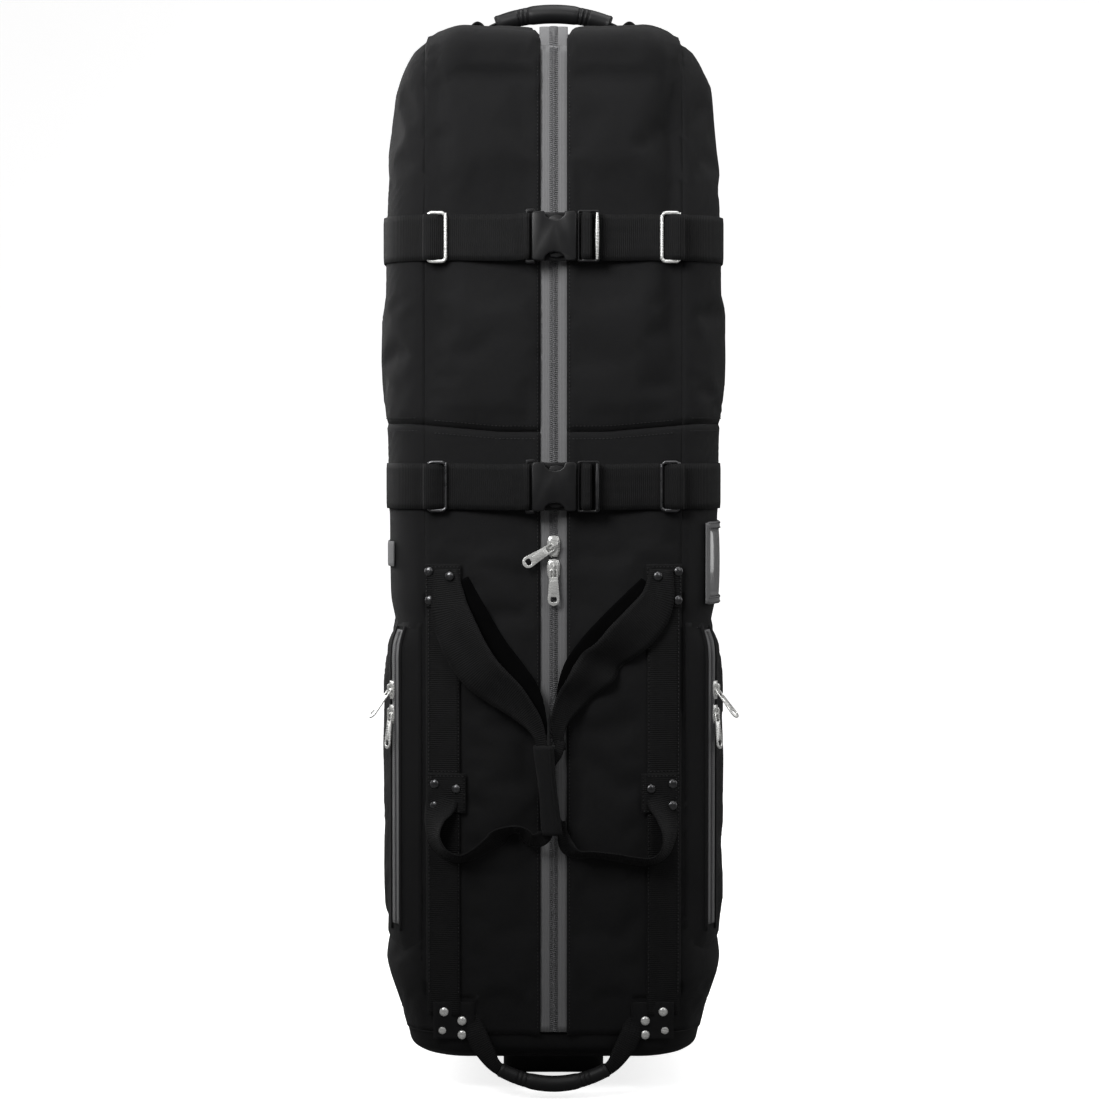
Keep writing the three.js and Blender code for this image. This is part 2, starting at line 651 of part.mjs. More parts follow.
addShells();
addBase();
addMainZipper();
addPockets();
addCompressionStraps();
addTopHandle();
addBottomHandle();
addCarryHandles();
addSideItems();

export default golfCase;
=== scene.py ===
"""Looks for the golf travel case: fabric, webbing, zippers, buckles, handles and wheels on the CAD frame.

Lengths are millimetres in the CAD's frame, until mesh_piece() and plate() turn them into metres.
"""

import json
import math

import bmesh
import bpy
import numpy as np
from mathutils import Matrix, Vector, noise

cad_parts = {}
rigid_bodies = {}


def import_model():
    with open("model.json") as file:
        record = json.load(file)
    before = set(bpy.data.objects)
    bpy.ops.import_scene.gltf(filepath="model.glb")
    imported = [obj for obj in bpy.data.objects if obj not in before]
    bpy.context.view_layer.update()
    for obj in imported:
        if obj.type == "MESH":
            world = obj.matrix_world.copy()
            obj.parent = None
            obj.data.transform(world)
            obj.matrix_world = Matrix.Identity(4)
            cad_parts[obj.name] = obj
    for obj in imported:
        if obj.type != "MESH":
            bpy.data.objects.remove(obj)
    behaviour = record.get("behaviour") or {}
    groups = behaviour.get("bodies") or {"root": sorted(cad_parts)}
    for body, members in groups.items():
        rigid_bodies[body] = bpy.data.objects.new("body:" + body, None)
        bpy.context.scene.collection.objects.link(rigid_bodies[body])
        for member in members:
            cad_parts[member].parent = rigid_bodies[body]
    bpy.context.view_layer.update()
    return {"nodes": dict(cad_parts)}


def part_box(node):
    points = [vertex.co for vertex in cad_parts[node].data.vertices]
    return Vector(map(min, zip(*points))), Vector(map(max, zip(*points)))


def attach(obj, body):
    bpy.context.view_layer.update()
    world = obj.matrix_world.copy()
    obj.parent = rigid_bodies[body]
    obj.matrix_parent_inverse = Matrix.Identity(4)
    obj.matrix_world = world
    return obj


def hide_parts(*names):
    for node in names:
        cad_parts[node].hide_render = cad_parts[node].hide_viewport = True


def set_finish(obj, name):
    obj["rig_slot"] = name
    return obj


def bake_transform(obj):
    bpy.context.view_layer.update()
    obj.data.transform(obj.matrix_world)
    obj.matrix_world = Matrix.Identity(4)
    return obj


for leftover in list(bpy.data.objects):
    bpy.data.objects.remove(leftover)

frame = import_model()
MM = 0.001
SIDES = {"left": -1, "right": 1}
STRAP_Z = {"upper": 956.0, "lower": 682.0}
# the upper straps' slides and ladder bars are bright nickel and the lower ones dark gunmetal: lit and shaded
# copies of one metal, painted highlight above and painted shade below
STRAP_WIRE_LIT_AND_SHADED = {"upper": "nickel", "lower": "gunmetal"}
WEBBING = 50.8
SEAM_Z = 742.0
FRONT_Y = -165.0
# where the skin is cut: beside the flaps, beside the zipper, and round the flaps' feet and backs
FLAP_EDGE, ZIP_EDGE, FLAP_FOOT_EDGE = 142.3, 14.6, 86.2
FLAP_FOOT_Z, FLAP_BACK_Y = 112, -110


def cad_box(node):
    return [[c / MM for c in corner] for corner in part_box(node)]


def unit(value):
    return np.clip(value, 0, 1)


def bell(value, middle, width):
    return np.exp(-(((value - middle) / width) ** 2))


def ease(t):
    return t * t * (3 - 2 * t)


def spin(degrees, axis):
    return Matrix.Rotation(math.radians(degrees), 4, axis)


# ---------------------------------------------------------------- materials


class Finish:
    """A Principled material whose colour, roughness and bump come from nodes."""

    def __init__(self, name, color, roughness, metallic=0.0, sheen=0.0, coat=0.0, shine=0.5):
        self.material = bpy.data.materials.new(name)
        self.material.use_nodes = True
        self.tree = self.material.node_tree
        self.bsdf = self.tree.nodes["Principled BSDF"].inputs
        self.color = color
        self.height = None
        self.bsdf["Base Color"].default_value = (*color, 1)
        self.bsdf["Roughness"].default_value = roughness
        self.bsdf["Metallic"].default_value = metallic
        self.bsdf["Sheen Weight"].default_value = sheen
        self.bsdf["Sheen Roughness"].default_value = 0.45
        self.bsdf["Coat Weight"].default_value = coat
        self.bsdf["Specular IOR Level"].default_value = shine
        self.coordinates = self.node("TexCoord")

    def node(self, kind, values=(), **settings):
        """The outputs of a new node, with its inputs set to numbers or linked to sockets."""
        made = self.tree.nodes.new("ShaderNode" + kind)
        for key, value in settings.items():
            setattr(made, key, value)
        for key, value in dict(values).items():
            if isinstance(value, (int, float, tuple)):
                made.inputs[key].default_value = value
            else:
                self.tree.links.new(value, made.inputs[key])
        return made.outputs

    def math(self, operation, *values):
        return self.node("Math", enumerate(values), operation=operation)[0]

    def split(self, socket):
        return self.node("SeparateXYZ", {0: socket})

    def noise(self, scale, detail=3.0, stretch=None):
        source = self.coordinates["Object"]
        if stretch:
            source = self.node("Mapping", {"Scale": stretch, "Vector": source})[0]
        return self.node("TexNoise", {"Scale": scale, "Detail": detail, "Vector": source})["Fac"]

    def wave(self, socket, pitch):
        """0 to 1 along a coordinate in metres, repeating every pitch millimetres."""
        turned = self.math("MULTIPLY", socket, 2 * math.pi / (pitch * MM))
        return self.math("MULTIPLY_ADD", self.math("SINE", turned), 0.5, 0.5)

    def tint(self, factor, low, high):
        """Base colour runs from low to high times the finish's own colour as factor goes from 0 to 1."""
        dark, light = [(*[min(c * k, 1) for c in self.color], 1) for k in (low, high)]
        mixed = self.node("Mix", {"A": dark, "B": light, "Factor": factor}, data_type="RGBA")
        self.tree.links.new(mixed["Result"], self.bsdf["Base Color"])

    def rough(self, factor, low, high):
        value = self.math("MULTIPLY_ADD", factor, high - low, low)
        self.tree.links.new(value, self.bsdf["Roughness"])

    def bump(self, height, distance_mm, strength=1.0):
        values = {"Strength": strength, "Distance": distance_mm * MM, "Height": height}
        if self.height:
            values["Normal"] = self.height
        self.height = self.node("Bump", values)[0]
        self.tree.links.new(self.height, self.bsdf["Normal"])

    def pick(self, first, second, switch):
        """The first value where the switch is 0 and the second where it is 1."""
        kept = self.math("MULTIPLY", first, self.math("SUBTRACT", 1.0, switch))
        return self.math("ADD", kept, self.math("MULTIPLY", second, switch))

    def weave(self, pitch, depth_mm):
        """Over and under threads of a basket weave, across and along a panel whichever way it faces."""
        x, y, z = self.split(self.coordinates["Object"])
        nx, ny, nz = [self.math("ABSOLUTE", n) for n in self.split(self.coordinates["Normal"])]
        flat = self.math("GREATER_THAN", nz, 0.75)
        across = self.pick(self.pick(x, y, self.math("GREATER_THAN", nx, ny)), x, flat)
        along = self.pick(z, y, flat)
        over = self.math("SUBTRACT", self.wave(across, pitch), self.wave(along, pitch))
        over = self.math("ABSOLUTE", over)
        self.bump(over, depth_mm)
        return over


# material name, colour, roughness, settings, then noise scale and detail with the range of the tint,
# the range of the roughness, and the depth and strength of the bump
MOULDED = {
    # inner: near-black and almost unreflective, darker than the webbing: painted shadow for the strip behind
    # each carry strap's raised edge
    "inner": ("strap_painted_shadow", (0.0016, 0.0016, 0.0017), 0.9, {"shine": 0.03}, (70, 3, 0.7, 1.4), (), ()),
    "coil": ("zipper_coil", (0.075, 0.075, 0.078), 0.38, {}, (300, 2, 0.7, 1.3), (), (900, 1, 0.05)),
    "plastic": (
        *("satin_plastic", (0.006, 0.006, 0.0064), 0.38, {"shine": 0.24}),
        *((18, 3, 0.8, 1.3), (60, 4, 0.28, 0.46), (1500, 1, 0.04, 0.5)),
    ),
    "base": (
        *("base_plastic", (0.0056, 0.0056, 0.0059), 0.66, {"shine": 0.14}),
        *((14, 4, 0.75, 1.5), (50, 4, 0.5, 0.75), (900, 2, 0.08, 0.7)),
    ),
    "rubber": (
        *("moulded_rubber", (0.0075, 0.0075, 0.008), 0.5, {"shine": 0.26}),
        *((30, 4, 0.7, 1.5), (45, 3, 0.4, 0.62), (1100, 2, 0.09, 0.8)),
    ),
    "nickel": (
        *("nickel_plate", (0.8, 0.8, 0.78), 0.28, {"metallic": 0.62}),
        *((80, 3, 0.75, 1.08), (140, 4, 0.16, 0.38, (1, 1, 6)), (420, 3, 0.06, 0.4)),
    ),
    "gunmetal": (
        *("gunmetal_plate", (0.09, 0.09, 0.093), 0.3, {"metallic": 1.0}),
        *((120, 3, 0.6, 1.6), (160, 4, 0.2, 0.42), ()),
    ),
    "tread": ("cast_tread", (0.017, 0.017, 0.0175), 0.55, {}, (70, 4, 0.7, 2.2), (), (500, 3, 0.15, 0.8)),
    "vinyl": ("clear_vinyl", (0.2, 0.2, 0.205), 0.16, {"coat": 0.6}, (40, 3, 0.8, 1.2), (), (25, 2, 1, 0.4)),
    "thread": ("sewing_thread", (0.016, 0.016, 0.0165), 0.5, {"shine": 0.3}, (400, 2, 0.7, 1.7), (), ()),
}


def make_finishes():
    made = {}
    for key, (name, color, roughness, settings, tint, rough, bump) in MOULDED.items():
        one = made[key] = Finish(name, color, roughness, **settings)
        one.tint(one.noise(*tint[:2]), *tint[2:])
        if rough:
            one.rough(one.noise(*rough[:2], *rough[4:]), *rough[2:4])
        if bump:
            one.bump(one.noise(*bump[:2]), *bump[2:])

    cloth = made["cloth"] = Finish("ballistic_cloth", (0.0062, 0.0062, 0.0066), 0.72, sheen=0.03, shine=0.14)
    thread = cloth.weave(1.15, 0.22)
    cloud = cloth.noise(9.0, 4)
    fuzz = cloth.math("MULTIPLY", cloth.noise(240.0, 2), 0.25)
    fuzz = cloth.math("MULTIPLY_ADD", cloud, 0.45, fuzz)
    cloth.tint(cloth.math("MULTIPLY_ADD", thread, 0.4, fuzz), 0.72, 1.6)
    cloth.rough(cloud, 0.62, 0.84)
    cloth.bump(cloth.noise(26.0, 3), 1.1, 0.35)

    lining = made["lining"] = Finish("lining_cloth", (0.02, 0.02, 0.022), 0.8, sheen=0.05, shine=0.2)
    lining.tint(lining.weave(0.8, 0.1), 0.8, 1.3)
    lining.bump(lining.noise(30.0, 3), 1.2, 0.5)

    web = made["webbing"] = Finish("ribbed_webbing", (0.0048, 0.0048, 0.005), 0.7, sheen=0.02, shine=0.12)
    u, v, _ = web.split(web.coordinates["UV"])
    rib = web.wave(u, 2.3)
    herring = web.wave(web.math("ADD", web.math("PINGPONG", v, 6.3 * MM), u), 1.5)
    worn = web.math("MULTIPLY", web.noise(60.0, 3), 0.5)
    web.tint(web.math("MULTIPLY_ADD", rib, 0.55, worn), 0.6, 1.9)
    web.rough(herring, 0.55, 0.8)
    web.bump(rib, 0.34)
    web.bump(herring, 0.12)

    tape = made["tape"] = Finish("zipper_tape_cloth", (0.135, 0.135, 0.138), 0.78, sheen=0.1)
    x, y, z = tape.split(tape.coordinates["Object"])
    across = tape.wave(tape.math("ADD", x, y), 1.7)
    along = tape.wave(z, 1.3)
    tape.tint(tape.math("MULTIPLY_ADD", across, 0.5, tape.math("MULTIPLY", along, 0.5)), 0.72, 1.22)
    tape.bump(across, 0.2)
    tape.bump(along, 0.14)
    return made


FINISH = make_finishes()
SLOT_OF = {key: key for key in ("webbing", "nickel")}
SLOT_OF |= dict.fromkeys(("inner", "thread"), "webbing")
SLOT_OF |= dict.fromkeys(("cloth", "lining", "floor"), "cloth")
SLOT_OF |= dict.fromkeys(("tape", "coil"), "zipper_tape")
SLOT_OF |= dict.fromkeys(("plastic", "base"), "black_plastic")
SLOT_OF |= {"rubber": "black_rubber", "gunmetal": "black_metal"}
SLOT_OF |= {"tread": "polyurethane", "vinyl": "clear_vinyl"}

# ---------------------------------------------------------------- mesh code


def new_object(name, data):
    made = bpy.data.objects.new(name, data)
    bpy.context.scene.collection.objects.link(made)
    return made


def clean(mesh, merge=False):
    """Turns the faces outwards, and with merge joins doubled points first."""
    bm = bmesh.new()
    bm.from_mesh(mesh)
    if merge:
        bmesh.ops.remove_doubles(bm, verts=bm.verts, dist=1e-6)
    bmesh.ops.recalc_face_normals(bm, faces=bm.faces)
    bm.to_mesh(mesh)
    bm.free()


def smooth(made, degrees=35):
    made.data.polygons.foreach_set("use_smooth", [True] * len(made.data.polygons))
    made.data.set_sharp_from_angle(angle=math.radians(degrees))


def mesh_piece(name, points, faces, finish, uvs=None):
    """A new object from points in millimetres. uvs gives one pair per point, in millimetres."""
    mesh = bpy.data.meshes.new(name)
    mesh.from_pydata([tuple(float(c) * MM for c in p) for p in points], [], faces)
    mesh.materials.append(FINISH[finish].material)
    if uvs is not None:
        layer = mesh.uv_layers.new(name="along")
        for loop in mesh.loops:
            layer.data[loop.index].uv = [c * MM for c in uvs[loop.vertex_index]]
    mesh.polygons.foreach_set("use_smooth", [True] * len(mesh.polygons))
    mesh.update()
    made = new_object(name, mesh)
    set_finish(made, SLOT_OF[finish])
    return made


def put(made, body, *nodes):
    """Rides a piece on a body, in place of any CAD nodes named."""
    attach(made, body)
    if nodes:
        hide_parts(*nodes)
    return made


def modifier(made, kind, **settings):
    added = made.modifiers.new(kind.lower(), kind)
    for key, value in settings.items():
        setattr(added, key, value)


def evaluated_mesh(made):
    """The mesh of an object with its modifiers applied."""
    bpy.context.view_layer.update()
    graph = bpy.context.evaluated_depsgraph_get()
    shown = made.evaluated_get(graph)
    return bpy.data.meshes.new_from_object(shown, preserve_all_data_layers=True, depsgraph=graph)


def run_along(points):
    """Distance travelled at each of a row of points."""
    return np.concatenate([[0], np.cumsum(np.linalg.norm(np.diff(points, axis=0), axis=1))])


def spline(points, count):
    """Catmull-Rom through rows of numbers, resampled evenly by distance along the first three."""
    p = np.array(points, float)
    p = np.vstack([2 * p[0] - p[1], p, 2 * p[-1] - p[-2]])
    dense = []
    for a, b, c, d in zip(p, p[1:], p[2:], p[3:]):
        for t in np.linspace(0, 1, 24, endpoint=False):
            curve = (2 * a - 5 * b + 4 * c - d) * t**2 + (3 * b - a - 3 * c + d) * t**3
            dense.append(0.5 * (2 * b + (c - a) * t + curve))
    dense = np.array(dense + [p[-2]])
    run = run_along(dense[:, :3])
    at = np.linspace(0, run[-1], count)
    return np.stack([np.interp(at, run, column) for column in dense.T], axis=1), at


def skin_faces(rings, n, base=0, closed=False, caps=True):
    """Quads between rings of n points; closed joins the last ring to the first, otherwise caps end them."""
    faces = []
    for r in range(rings if closed else rings - 1):
        low, high = base + r * n, base + (r + 1) % rings * n
        for i in range(n):
            j = (i + 1) % n
            faces.append((low + i, low + j, high + j, high + i))
    if caps and not closed:
        faces.append(tuple(base + i for i in range(n))[::-1])
        faces.append(tuple(base + (rings - 1) * n + i for i in range(n)))
    return faces


def sweep(name, rings, finish, closed=False, uvs=None):
    """Rings of equal length joined into one closed skin."""
    points = [p for ring in rings for p in ring]
    made = mesh_piece(name, points, skin_faces(len(rings), len(rings[0]), 0, closed), finish, uvs)
    clean(made.data)
    return made


def direction(rows, i):
    """The way rows of points run at row i."""
    ahead, behind = rows[min(i + 1, len(rows) - 1)], rows[max(i - 1, 0)]
    return (Vector(ahead[:3]) - Vector(behind[:3])).normalized()


def ribbon(name, frames, count, thickness=2.0, finish="webbing", cup=0.0, wander=0.0, seed=0):
    """Flat webbing along frames of x, y, z, width and the way its face looks, which is ahead if left out.

    cup bows the face across its width and wander adds small soft waves.
    """
    rows, run = spline([[*row, 0, -1, 0][:7] for row in frames], count)
    rings, uvs = [], []
    for i, row in enumerate(rows):
        along = direction(rows, i)
        across = along.cross(Vector(row[4:7])).normalized()
        face = across.cross(along).normalized()
        front, back, uv = [], [], []
        for c in np.linspace(-1, 1, 9):
            bow = cup * (1 - c * c)
            if wander:
                bow += wander * noise.noise(Vector((run[i] / 38, c * 1.1, seed * 7.3)))
            edge = 1 - 0.55 * abs(c) ** 12
            base = Vector(row[:3]) + across * (c * row[3] / 2) + face * bow
            front.append(base + face * thickness / 2 * edge)
            back.append(base - face * thickness / 2 * edge)
            uv.append((run[i], c * row[3] / 2 + row[3]))
        rings.append(front + back[::-1])
        uvs += uv + uv[::-1]
    return sweep(name, rings, finish, uvs=uvs)


def mirror(rows):
    """Full ribbon frames on the other side of the case."""
    return [[-row[0], *row[1:4], -row[4], *row[5:]] for row in rows]


def tube(name, path, radius, count, finish, segments=10, closed=False):
    """A round cord along a path; radius may be one number or one per path point."""
    radii = [radius] * len(path) if isinstance(radius, (int, float)) else radius
    points = [[*p, r] for p, r in zip(path, radii)]
    if closed:
        points = points[-2:] + points + points[:3]
    rows, _ = spline(points, count)
    rings = []
    side = None
    for i, row in enumerate(rows):
        along = direction(rows, i)
        side = side or along.orthogonal().normalized()
        side = (side - along * side.dot(along)).normalized()
        other = along.cross(side)
        turns = [2 * math.pi * k / segments for k in range(segments)]
        rings.append([Vector(row[:3]) + (side * math.cos(a) + other * math.sin(a)) * row[3] for a in turns])
    return sweep(name, rings, finish)


def lathe(name, profile, segments, finish, place):
    """A closed profile of [radius, height] turned about local Z, then placed by a matrix."""
    rings = []
    for k in range(segments):
        a = 2 * math.pi * k / segments
        rings.append([place @ Vector((r * math.cos(a), r * math.sin(a), h)) for r, h in profile])
    made = sweep(name, rings, finish, closed=True)
    clean(made.data, merge=True)
    smooth(made, 40)
    return made


def rounded(x0, x1, y0, y1, r, steps=5):
    """Outline of a rectangle with round corners."""
    outline = []
    x0, x1, y0, y1 = x0 + r, x1 - r, y0 + r, y1 - r
    for cx, cy, start in ((x1, y0, -90), (x1, y1, 0), (x0, y1, 90), (x0, y0, 180)):
        for k in range(steps + 1):
            a = math.radians(start + 90 * k / steps)
            outline.append((cx + r * math.cos(a), cy + r * math.sin(a)))
    return outline


FACING_FRONT = Matrix(((1, 0, 0, 0), (0, 0, -1, 0), (0, 1, 0, 0), (0, 0, 0, 1)))
UPRIGHT = Matrix.Identity(4)


def plate(name, outlines, low, high, finish, place=FACING_FRONT, edge=0.5):
    """A flat part with rounded edges: the first outline is its rim and the rest are holes."""
    curve = bpy.data.curves.new(name, "CURVE")
    curve.dimensions = "2D"
    curve.fill_mode = "BOTH"
    curve.extrude = (high - low) / 2 - edge
    curve.bevel_depth = edge
    curve.bevel_resolution = 2
    curve.offset = -edge
    for outline in outlines:
        line = curve.splines.new("POLY")
        line.points.add(len(outline) - 1)
        for point, (x, y) in zip(line.points, outline):
            point.co = (x, y, 0, 1)
        line.use_cyclic_u = True
    holder = new_object(name + "_outline", curve)
    mesh = evaluated_mesh(holder)
    bpy.data.objects.remove(holder)
    mesh.transform(Matrix.Scale(MM, 4) @ place @ Matrix.Translation((0, 0, (low + high) / 2)))
    mesh.materials.clear()
    mesh.materials.append(FINISH[finish].material)
    clean(mesh, merge=True)
    made = new_object(name, mesh)
    smooth(made)
    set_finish(made, SLOT_OF[finish])
    return made


def join(name, *parts):
    """One piece from several, keeping the first one's slot."""
    bm = bmesh.new()
    materials = []
    for part in parts:
        start = len(bm.faces)
        bm.from_mesh(part.data)
        bm.faces.ensure_lookup_table()
        for face in bm.faces[start:]:
            material = part.data.materials[face.material_index]
            if material not in materials:
                materials.append(material)
            face.material_index = materials.index(material)
    mesh = bpy.data.meshes.new(name)
    bm.to_mesh(mesh)
    bm.free()
    for material in materials:
        mesh.materials.append(material)
    made = new_object(name, mesh)
    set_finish(made, parts[0]["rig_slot"])
    for part in parts:
        bpy.data.objects.remove(part)
    return made


def stitches(name, lines, body, pitch=4.2, length=3.0, width=0.55):
    """Rows of short threads. Each line is a list of (point, outward normal), in order."""
    points, faces = [], []
    for line in lines:
        where = np.array([[*p, *n] for p, n in line], float)
        run = run_along(where[:, :3])
        for k in range(int(run[-1] // pitch)):
            start = k * pitch + 0.3
            first = [np.interp(start, run, column) for column in where.T]
            a = Vector(first[:3])
            b = Vector([np.interp(start + length, run, column) for column in where.T[:3]])
            out = Vector(first[3:]).normalized()
            across = (b - a).normalized().cross(out) * width
            center = (a + b) / 2
            middle = center + out * (width * 0.9)
            base = len(points)
            points += [a - out * 0.3, middle + across, b - out * 0.3, middle - across]
            points += [middle + out * 0.25, center - out * 0.4]
            for i, j in ((0, 1), (1, 2), (2, 3), (3, 0)):
                faces += [(base + i, base + j, base + 4), (base + j, base + i, base + 5)]
    made = mesh_piece(name, points, faces, "thread")
    clean(made.data)
    return put(made, body)


# ---------------------------------------------------------------- the fabric body


def read_rings(*nodes):
    """Height, half width, front and back of CAD nodes at each of their levels."""
    rings = {}
    for node in nodes:
        for vertex in frame["nodes"][node].data.vertices:
            x, y, z = [c / MM for c in vertex.co]
            rings.setdefault(round(z, 1), []).append((abs(x), y))
    table = []
    for z in sorted(rings):
        xs, ys = zip(*rings[z])
        table.append([z, max(xs), min(ys), max(ys)])
    return table


BODY_RINGS = read_rings("lower_shell", "padded_hood", "front_flap_left", "front_flap_right")
LEVELS = np.array([row for row in BODY_RINGS if row[1] > 130 and row[3] > 100 and row[2] < -120])
FRONT_CORNER, REAR_CORNER = 60.0, 40.0
TOP_SAG = 3.0


def press(z):
    """How far the padding is free to swell at this height: 0 under a strap, 1 in the open."""
    free = 1.0
    for strap in STRAP_Z.values():
        gap = np.maximum(0, np.abs(z - strap) - 20)
        free = free * (0.12 + 0.88 * (1 - bell(gap, 0, 42)))
    return free * (1 - bell(z, 60, 45))


def swell(x, y, z, nx, ny, nz):
    """Outward crown of the padding, in millimetres, at a point of the body."""
    ax = np.abs(x)
    side = np.abs(nx) ** 2
    hood = unit((z - SEAM_Z) / 130)
    free = press(z)
    across = np.sin(np.pi * unit((ax - 10) / 132)) ** 0.8
    panel = across * (3.2 + 5.4 * hood) * free
    crown = unit(-ny) ** 2 * (panel + 3.4 * bell(ax, 16, 10) * (ax > 6) + 1.6 * (ax > 14) * (ax < 130))
    # the seams of the flaps, the grooves beside the hood's pads, and the pads themselves
    facing = unit(-ny + 0.25)
    crown -= facing * bell(ax, FLAP_EDGE, 5) * 1.2
    depth = hood * (0.5 + 0.5 * free) * np.clip((1165 - z) / 90, 0.35, 1)
    crown -= facing * bell(ax, 129, 10) * (0.8 + 8.6 * depth)
    crown += facing * bell(ax, 101, 13) * 2.8 * hood * free
    cap = unit((z - 1135) / 40) * unit((FLAP_EDGE - 0.5 - ax) / 5) * unit((-90 - y) / 30)
    crown += 5.5 * cap * (ax > 20)
    # the sides, the bulge over the base, and the back
    crown += side * (2.2 + 2.4 * hood) * free * np.cos(np.clip((y + 5) / 110, -1, 1) * np.pi / 2)
    crown += side * 7.0 * bell(z, 146, 30)
    crown += unit(ny) ** 2 * 4.0 * free * np.cos(unit(ax / 150) * np.pi / 2)
    crown -= 1.3 * bell(z, SEAM_Z, 3.2) * unit(1 - nz)
    ripple = noise_field(x, y, z, 62) * 2.6 + noise_field(x + 400, y, z, 26) * 0.9
    crown += ripple * free * (0.5 + 0.5 * hood) * (ax > 18)
    return crown


def noise_field(x, y, z, size):
    return np.array([noise.noise(Vector((a / size, b / size, c / (size * 1.6)))) for a, b, c in zip(x, y, z)])


def ring_points(half, front, back, r_front, r_rear, z):
    """One level of the body, from the middle of the front round by the right side."""
    ring = []

    def line(a, b, n):
        ring.extend([(a[0] + (b[0] - a[0]) * k / n, a[1] + (b[1] - a[1]) * k / n, z) for k in range(n)])

    def arc(cx, cy, r, start, n):
        turns = [math.radians(start + 90 * k / n) for k in range(n)]
        ring.extend([(cx + r * math.cos(a), cy + r * math.sin(a), z) for a in turns])

    wf, wr = half - r_front, half - r_rear
    line((0, front), (wf, front), 20)
    arc(wf, front + r_front, r_front, -90, 14)
    line((half, front + r_front), (half, back - r_rear), 30)
    arc(wr, back - r_rear, r_rear, 0, 8)
    line((wr, back), (-wr, back), 44)
    arc(-wr, back - r_rear, r_rear, 90, 8)
    line((-half, back - r_rear), (-half, front + r_front), 30)
    arc(-wf, front + r_front, r_front, 180, 14)
    line((-wf, front), (0, front), 20)
    return ring


def smooth_levels(count):
    """Rows of [z, half, front, back] up the body, eased so that no level shows as a kink."""
    low, high = LEVELS[0, 0], LEVELS[-1, 0]
    heights = np.linspace(low, high, count)
    heights[np.argmin(np.abs(heights - SEAM_Z))] = SEAM_Z
    heights = np.sort(np.append(heights, high - np.array([3.0, 7.5, 12.0])))
    reach = unit((heights - low) / 30) * unit((high - heights) / 50)
    table = [heights]
    for column in (1, 2, 3):
        eased = np.zeros(len(heights))
        for shift, weight in zip((-14, -7, 0, 7, 14), (0.12, 0.22, 0.32, 0.22, 0.12)):
            eased += weight * np.interp(heights + shift * reach, LEVELS[:, 0], LEVELS[:, column])
        table.append(eased)
    return np.array(table).T


def body_mesh():
    """The fabric skin from floor edge to the middle of the top, and which of its faces are above the seam."""
    rings = []
    for z, half, front, back in smooth_levels(166):
        tight = np.interp(z, [1185, 1197], [0, 10])
        rings.append(ring_points(half, front, back, FRONT_CORNER - tight, REAR_CORNER, z))
    mid = (front + back) / 2
    rim = rings[-1]
    for k in range(1, 15):
        s = 1 - k / 15
        rings.append([(x * s, mid + (y - mid) * s, z + 1.1 * (1 - s * s)) for x, y, _ in rim])
    n = len(rim)
    points = [p for ring in rings for p in ring] + [(0, mid, z + 1.1)]
    last = (len(rings) - 1) * n
    faces = skin_faces(len(rings), n, caps=False)
    faces += [(last + i, last + (i + 1) % n, len(points) - 1) for i in range(n)]
    above = [points[face[0]][2] > SEAM_Z - 0.01 for face in faces]
    return np.array(points, float), faces, above


def read_points(mesh, what):
    out = np.empty(len(mesh.vertices) * 3, np.float32)
    mesh.vertices.foreach_get(what, out)
    return out.reshape(-1, 3).astype(float)


def vertex_normals(points, faces):
    mesh = bpy.data.meshes.new("normals")
    mesh.from_pydata([tuple(p) for p in points], [], faces)
    mesh.update()
    normals = read_points(mesh, "normal")
    bpy.data.meshes.remove(mesh)
    return normals


CLOTH_FRAMES = 16
CLOTH_SETTINGS = {
    "quality": 5,
    "mass": 0.3,
    "tension_stiffness": 25,
    "compression_stiffness": 25,
    "shear_stiffness": 12,
    "bending_stiffness": 4,
    "air_damping": 4,
    "vertex_group_mass": "sewn",
    "pin_stiffness": 1.0,
    "use_pressure": True,
}


def drape(points, faces, hold, reach=4.5, slack=0.012, pressure=2.0):
    """Lets the skin settle as cloth: hold is 1 where it is sewn or strapped down, and less in the open."""
    mesh = bpy.data.meshes.new("drape")
    mesh.from_pydata([tuple(p * MM) for p in points], [], faces)
    cloth = new_object("drape", mesh)
    group = cloth.vertex_groups.new(name="sewn")
    for i, weight in enumerate(hold):
        if weight > 0.01:
            group.add([i], float(weight), "REPLACE")
    sim = cloth.modifiers.new("cloth", "CLOTH")
    for key, value in CLOTH_SETTINGS.items():
        setattr(sim.settings, key, value)
    sim.settings.shrink_min = -slack
    sim.settings.uniform_pressure_force = pressure
    sim.settings.effector_weights.gravity = 0
    sim.collision_settings.use_collision = False
    sim.point_cache.frame_end = CLOTH_FRAMES
    for step in range(1, CLOTH_FRAMES + 1):
        bpy.context.scene.frame_set(step)
    graph = bpy.context.evaluated_depsgraph_get()
    settled = read_points(cloth.evaluated_get(graph).to_mesh(), "co")
    bpy.data.objects.remove(cloth)
    bpy.context.scene.frame_set(1)
    moved = settled / MM - points
    far = np.linalg.norm(moved, axis=1, keepdims=True)
    return points + moved * np.minimum(1, reach / np.maximum(far, 1e-6))


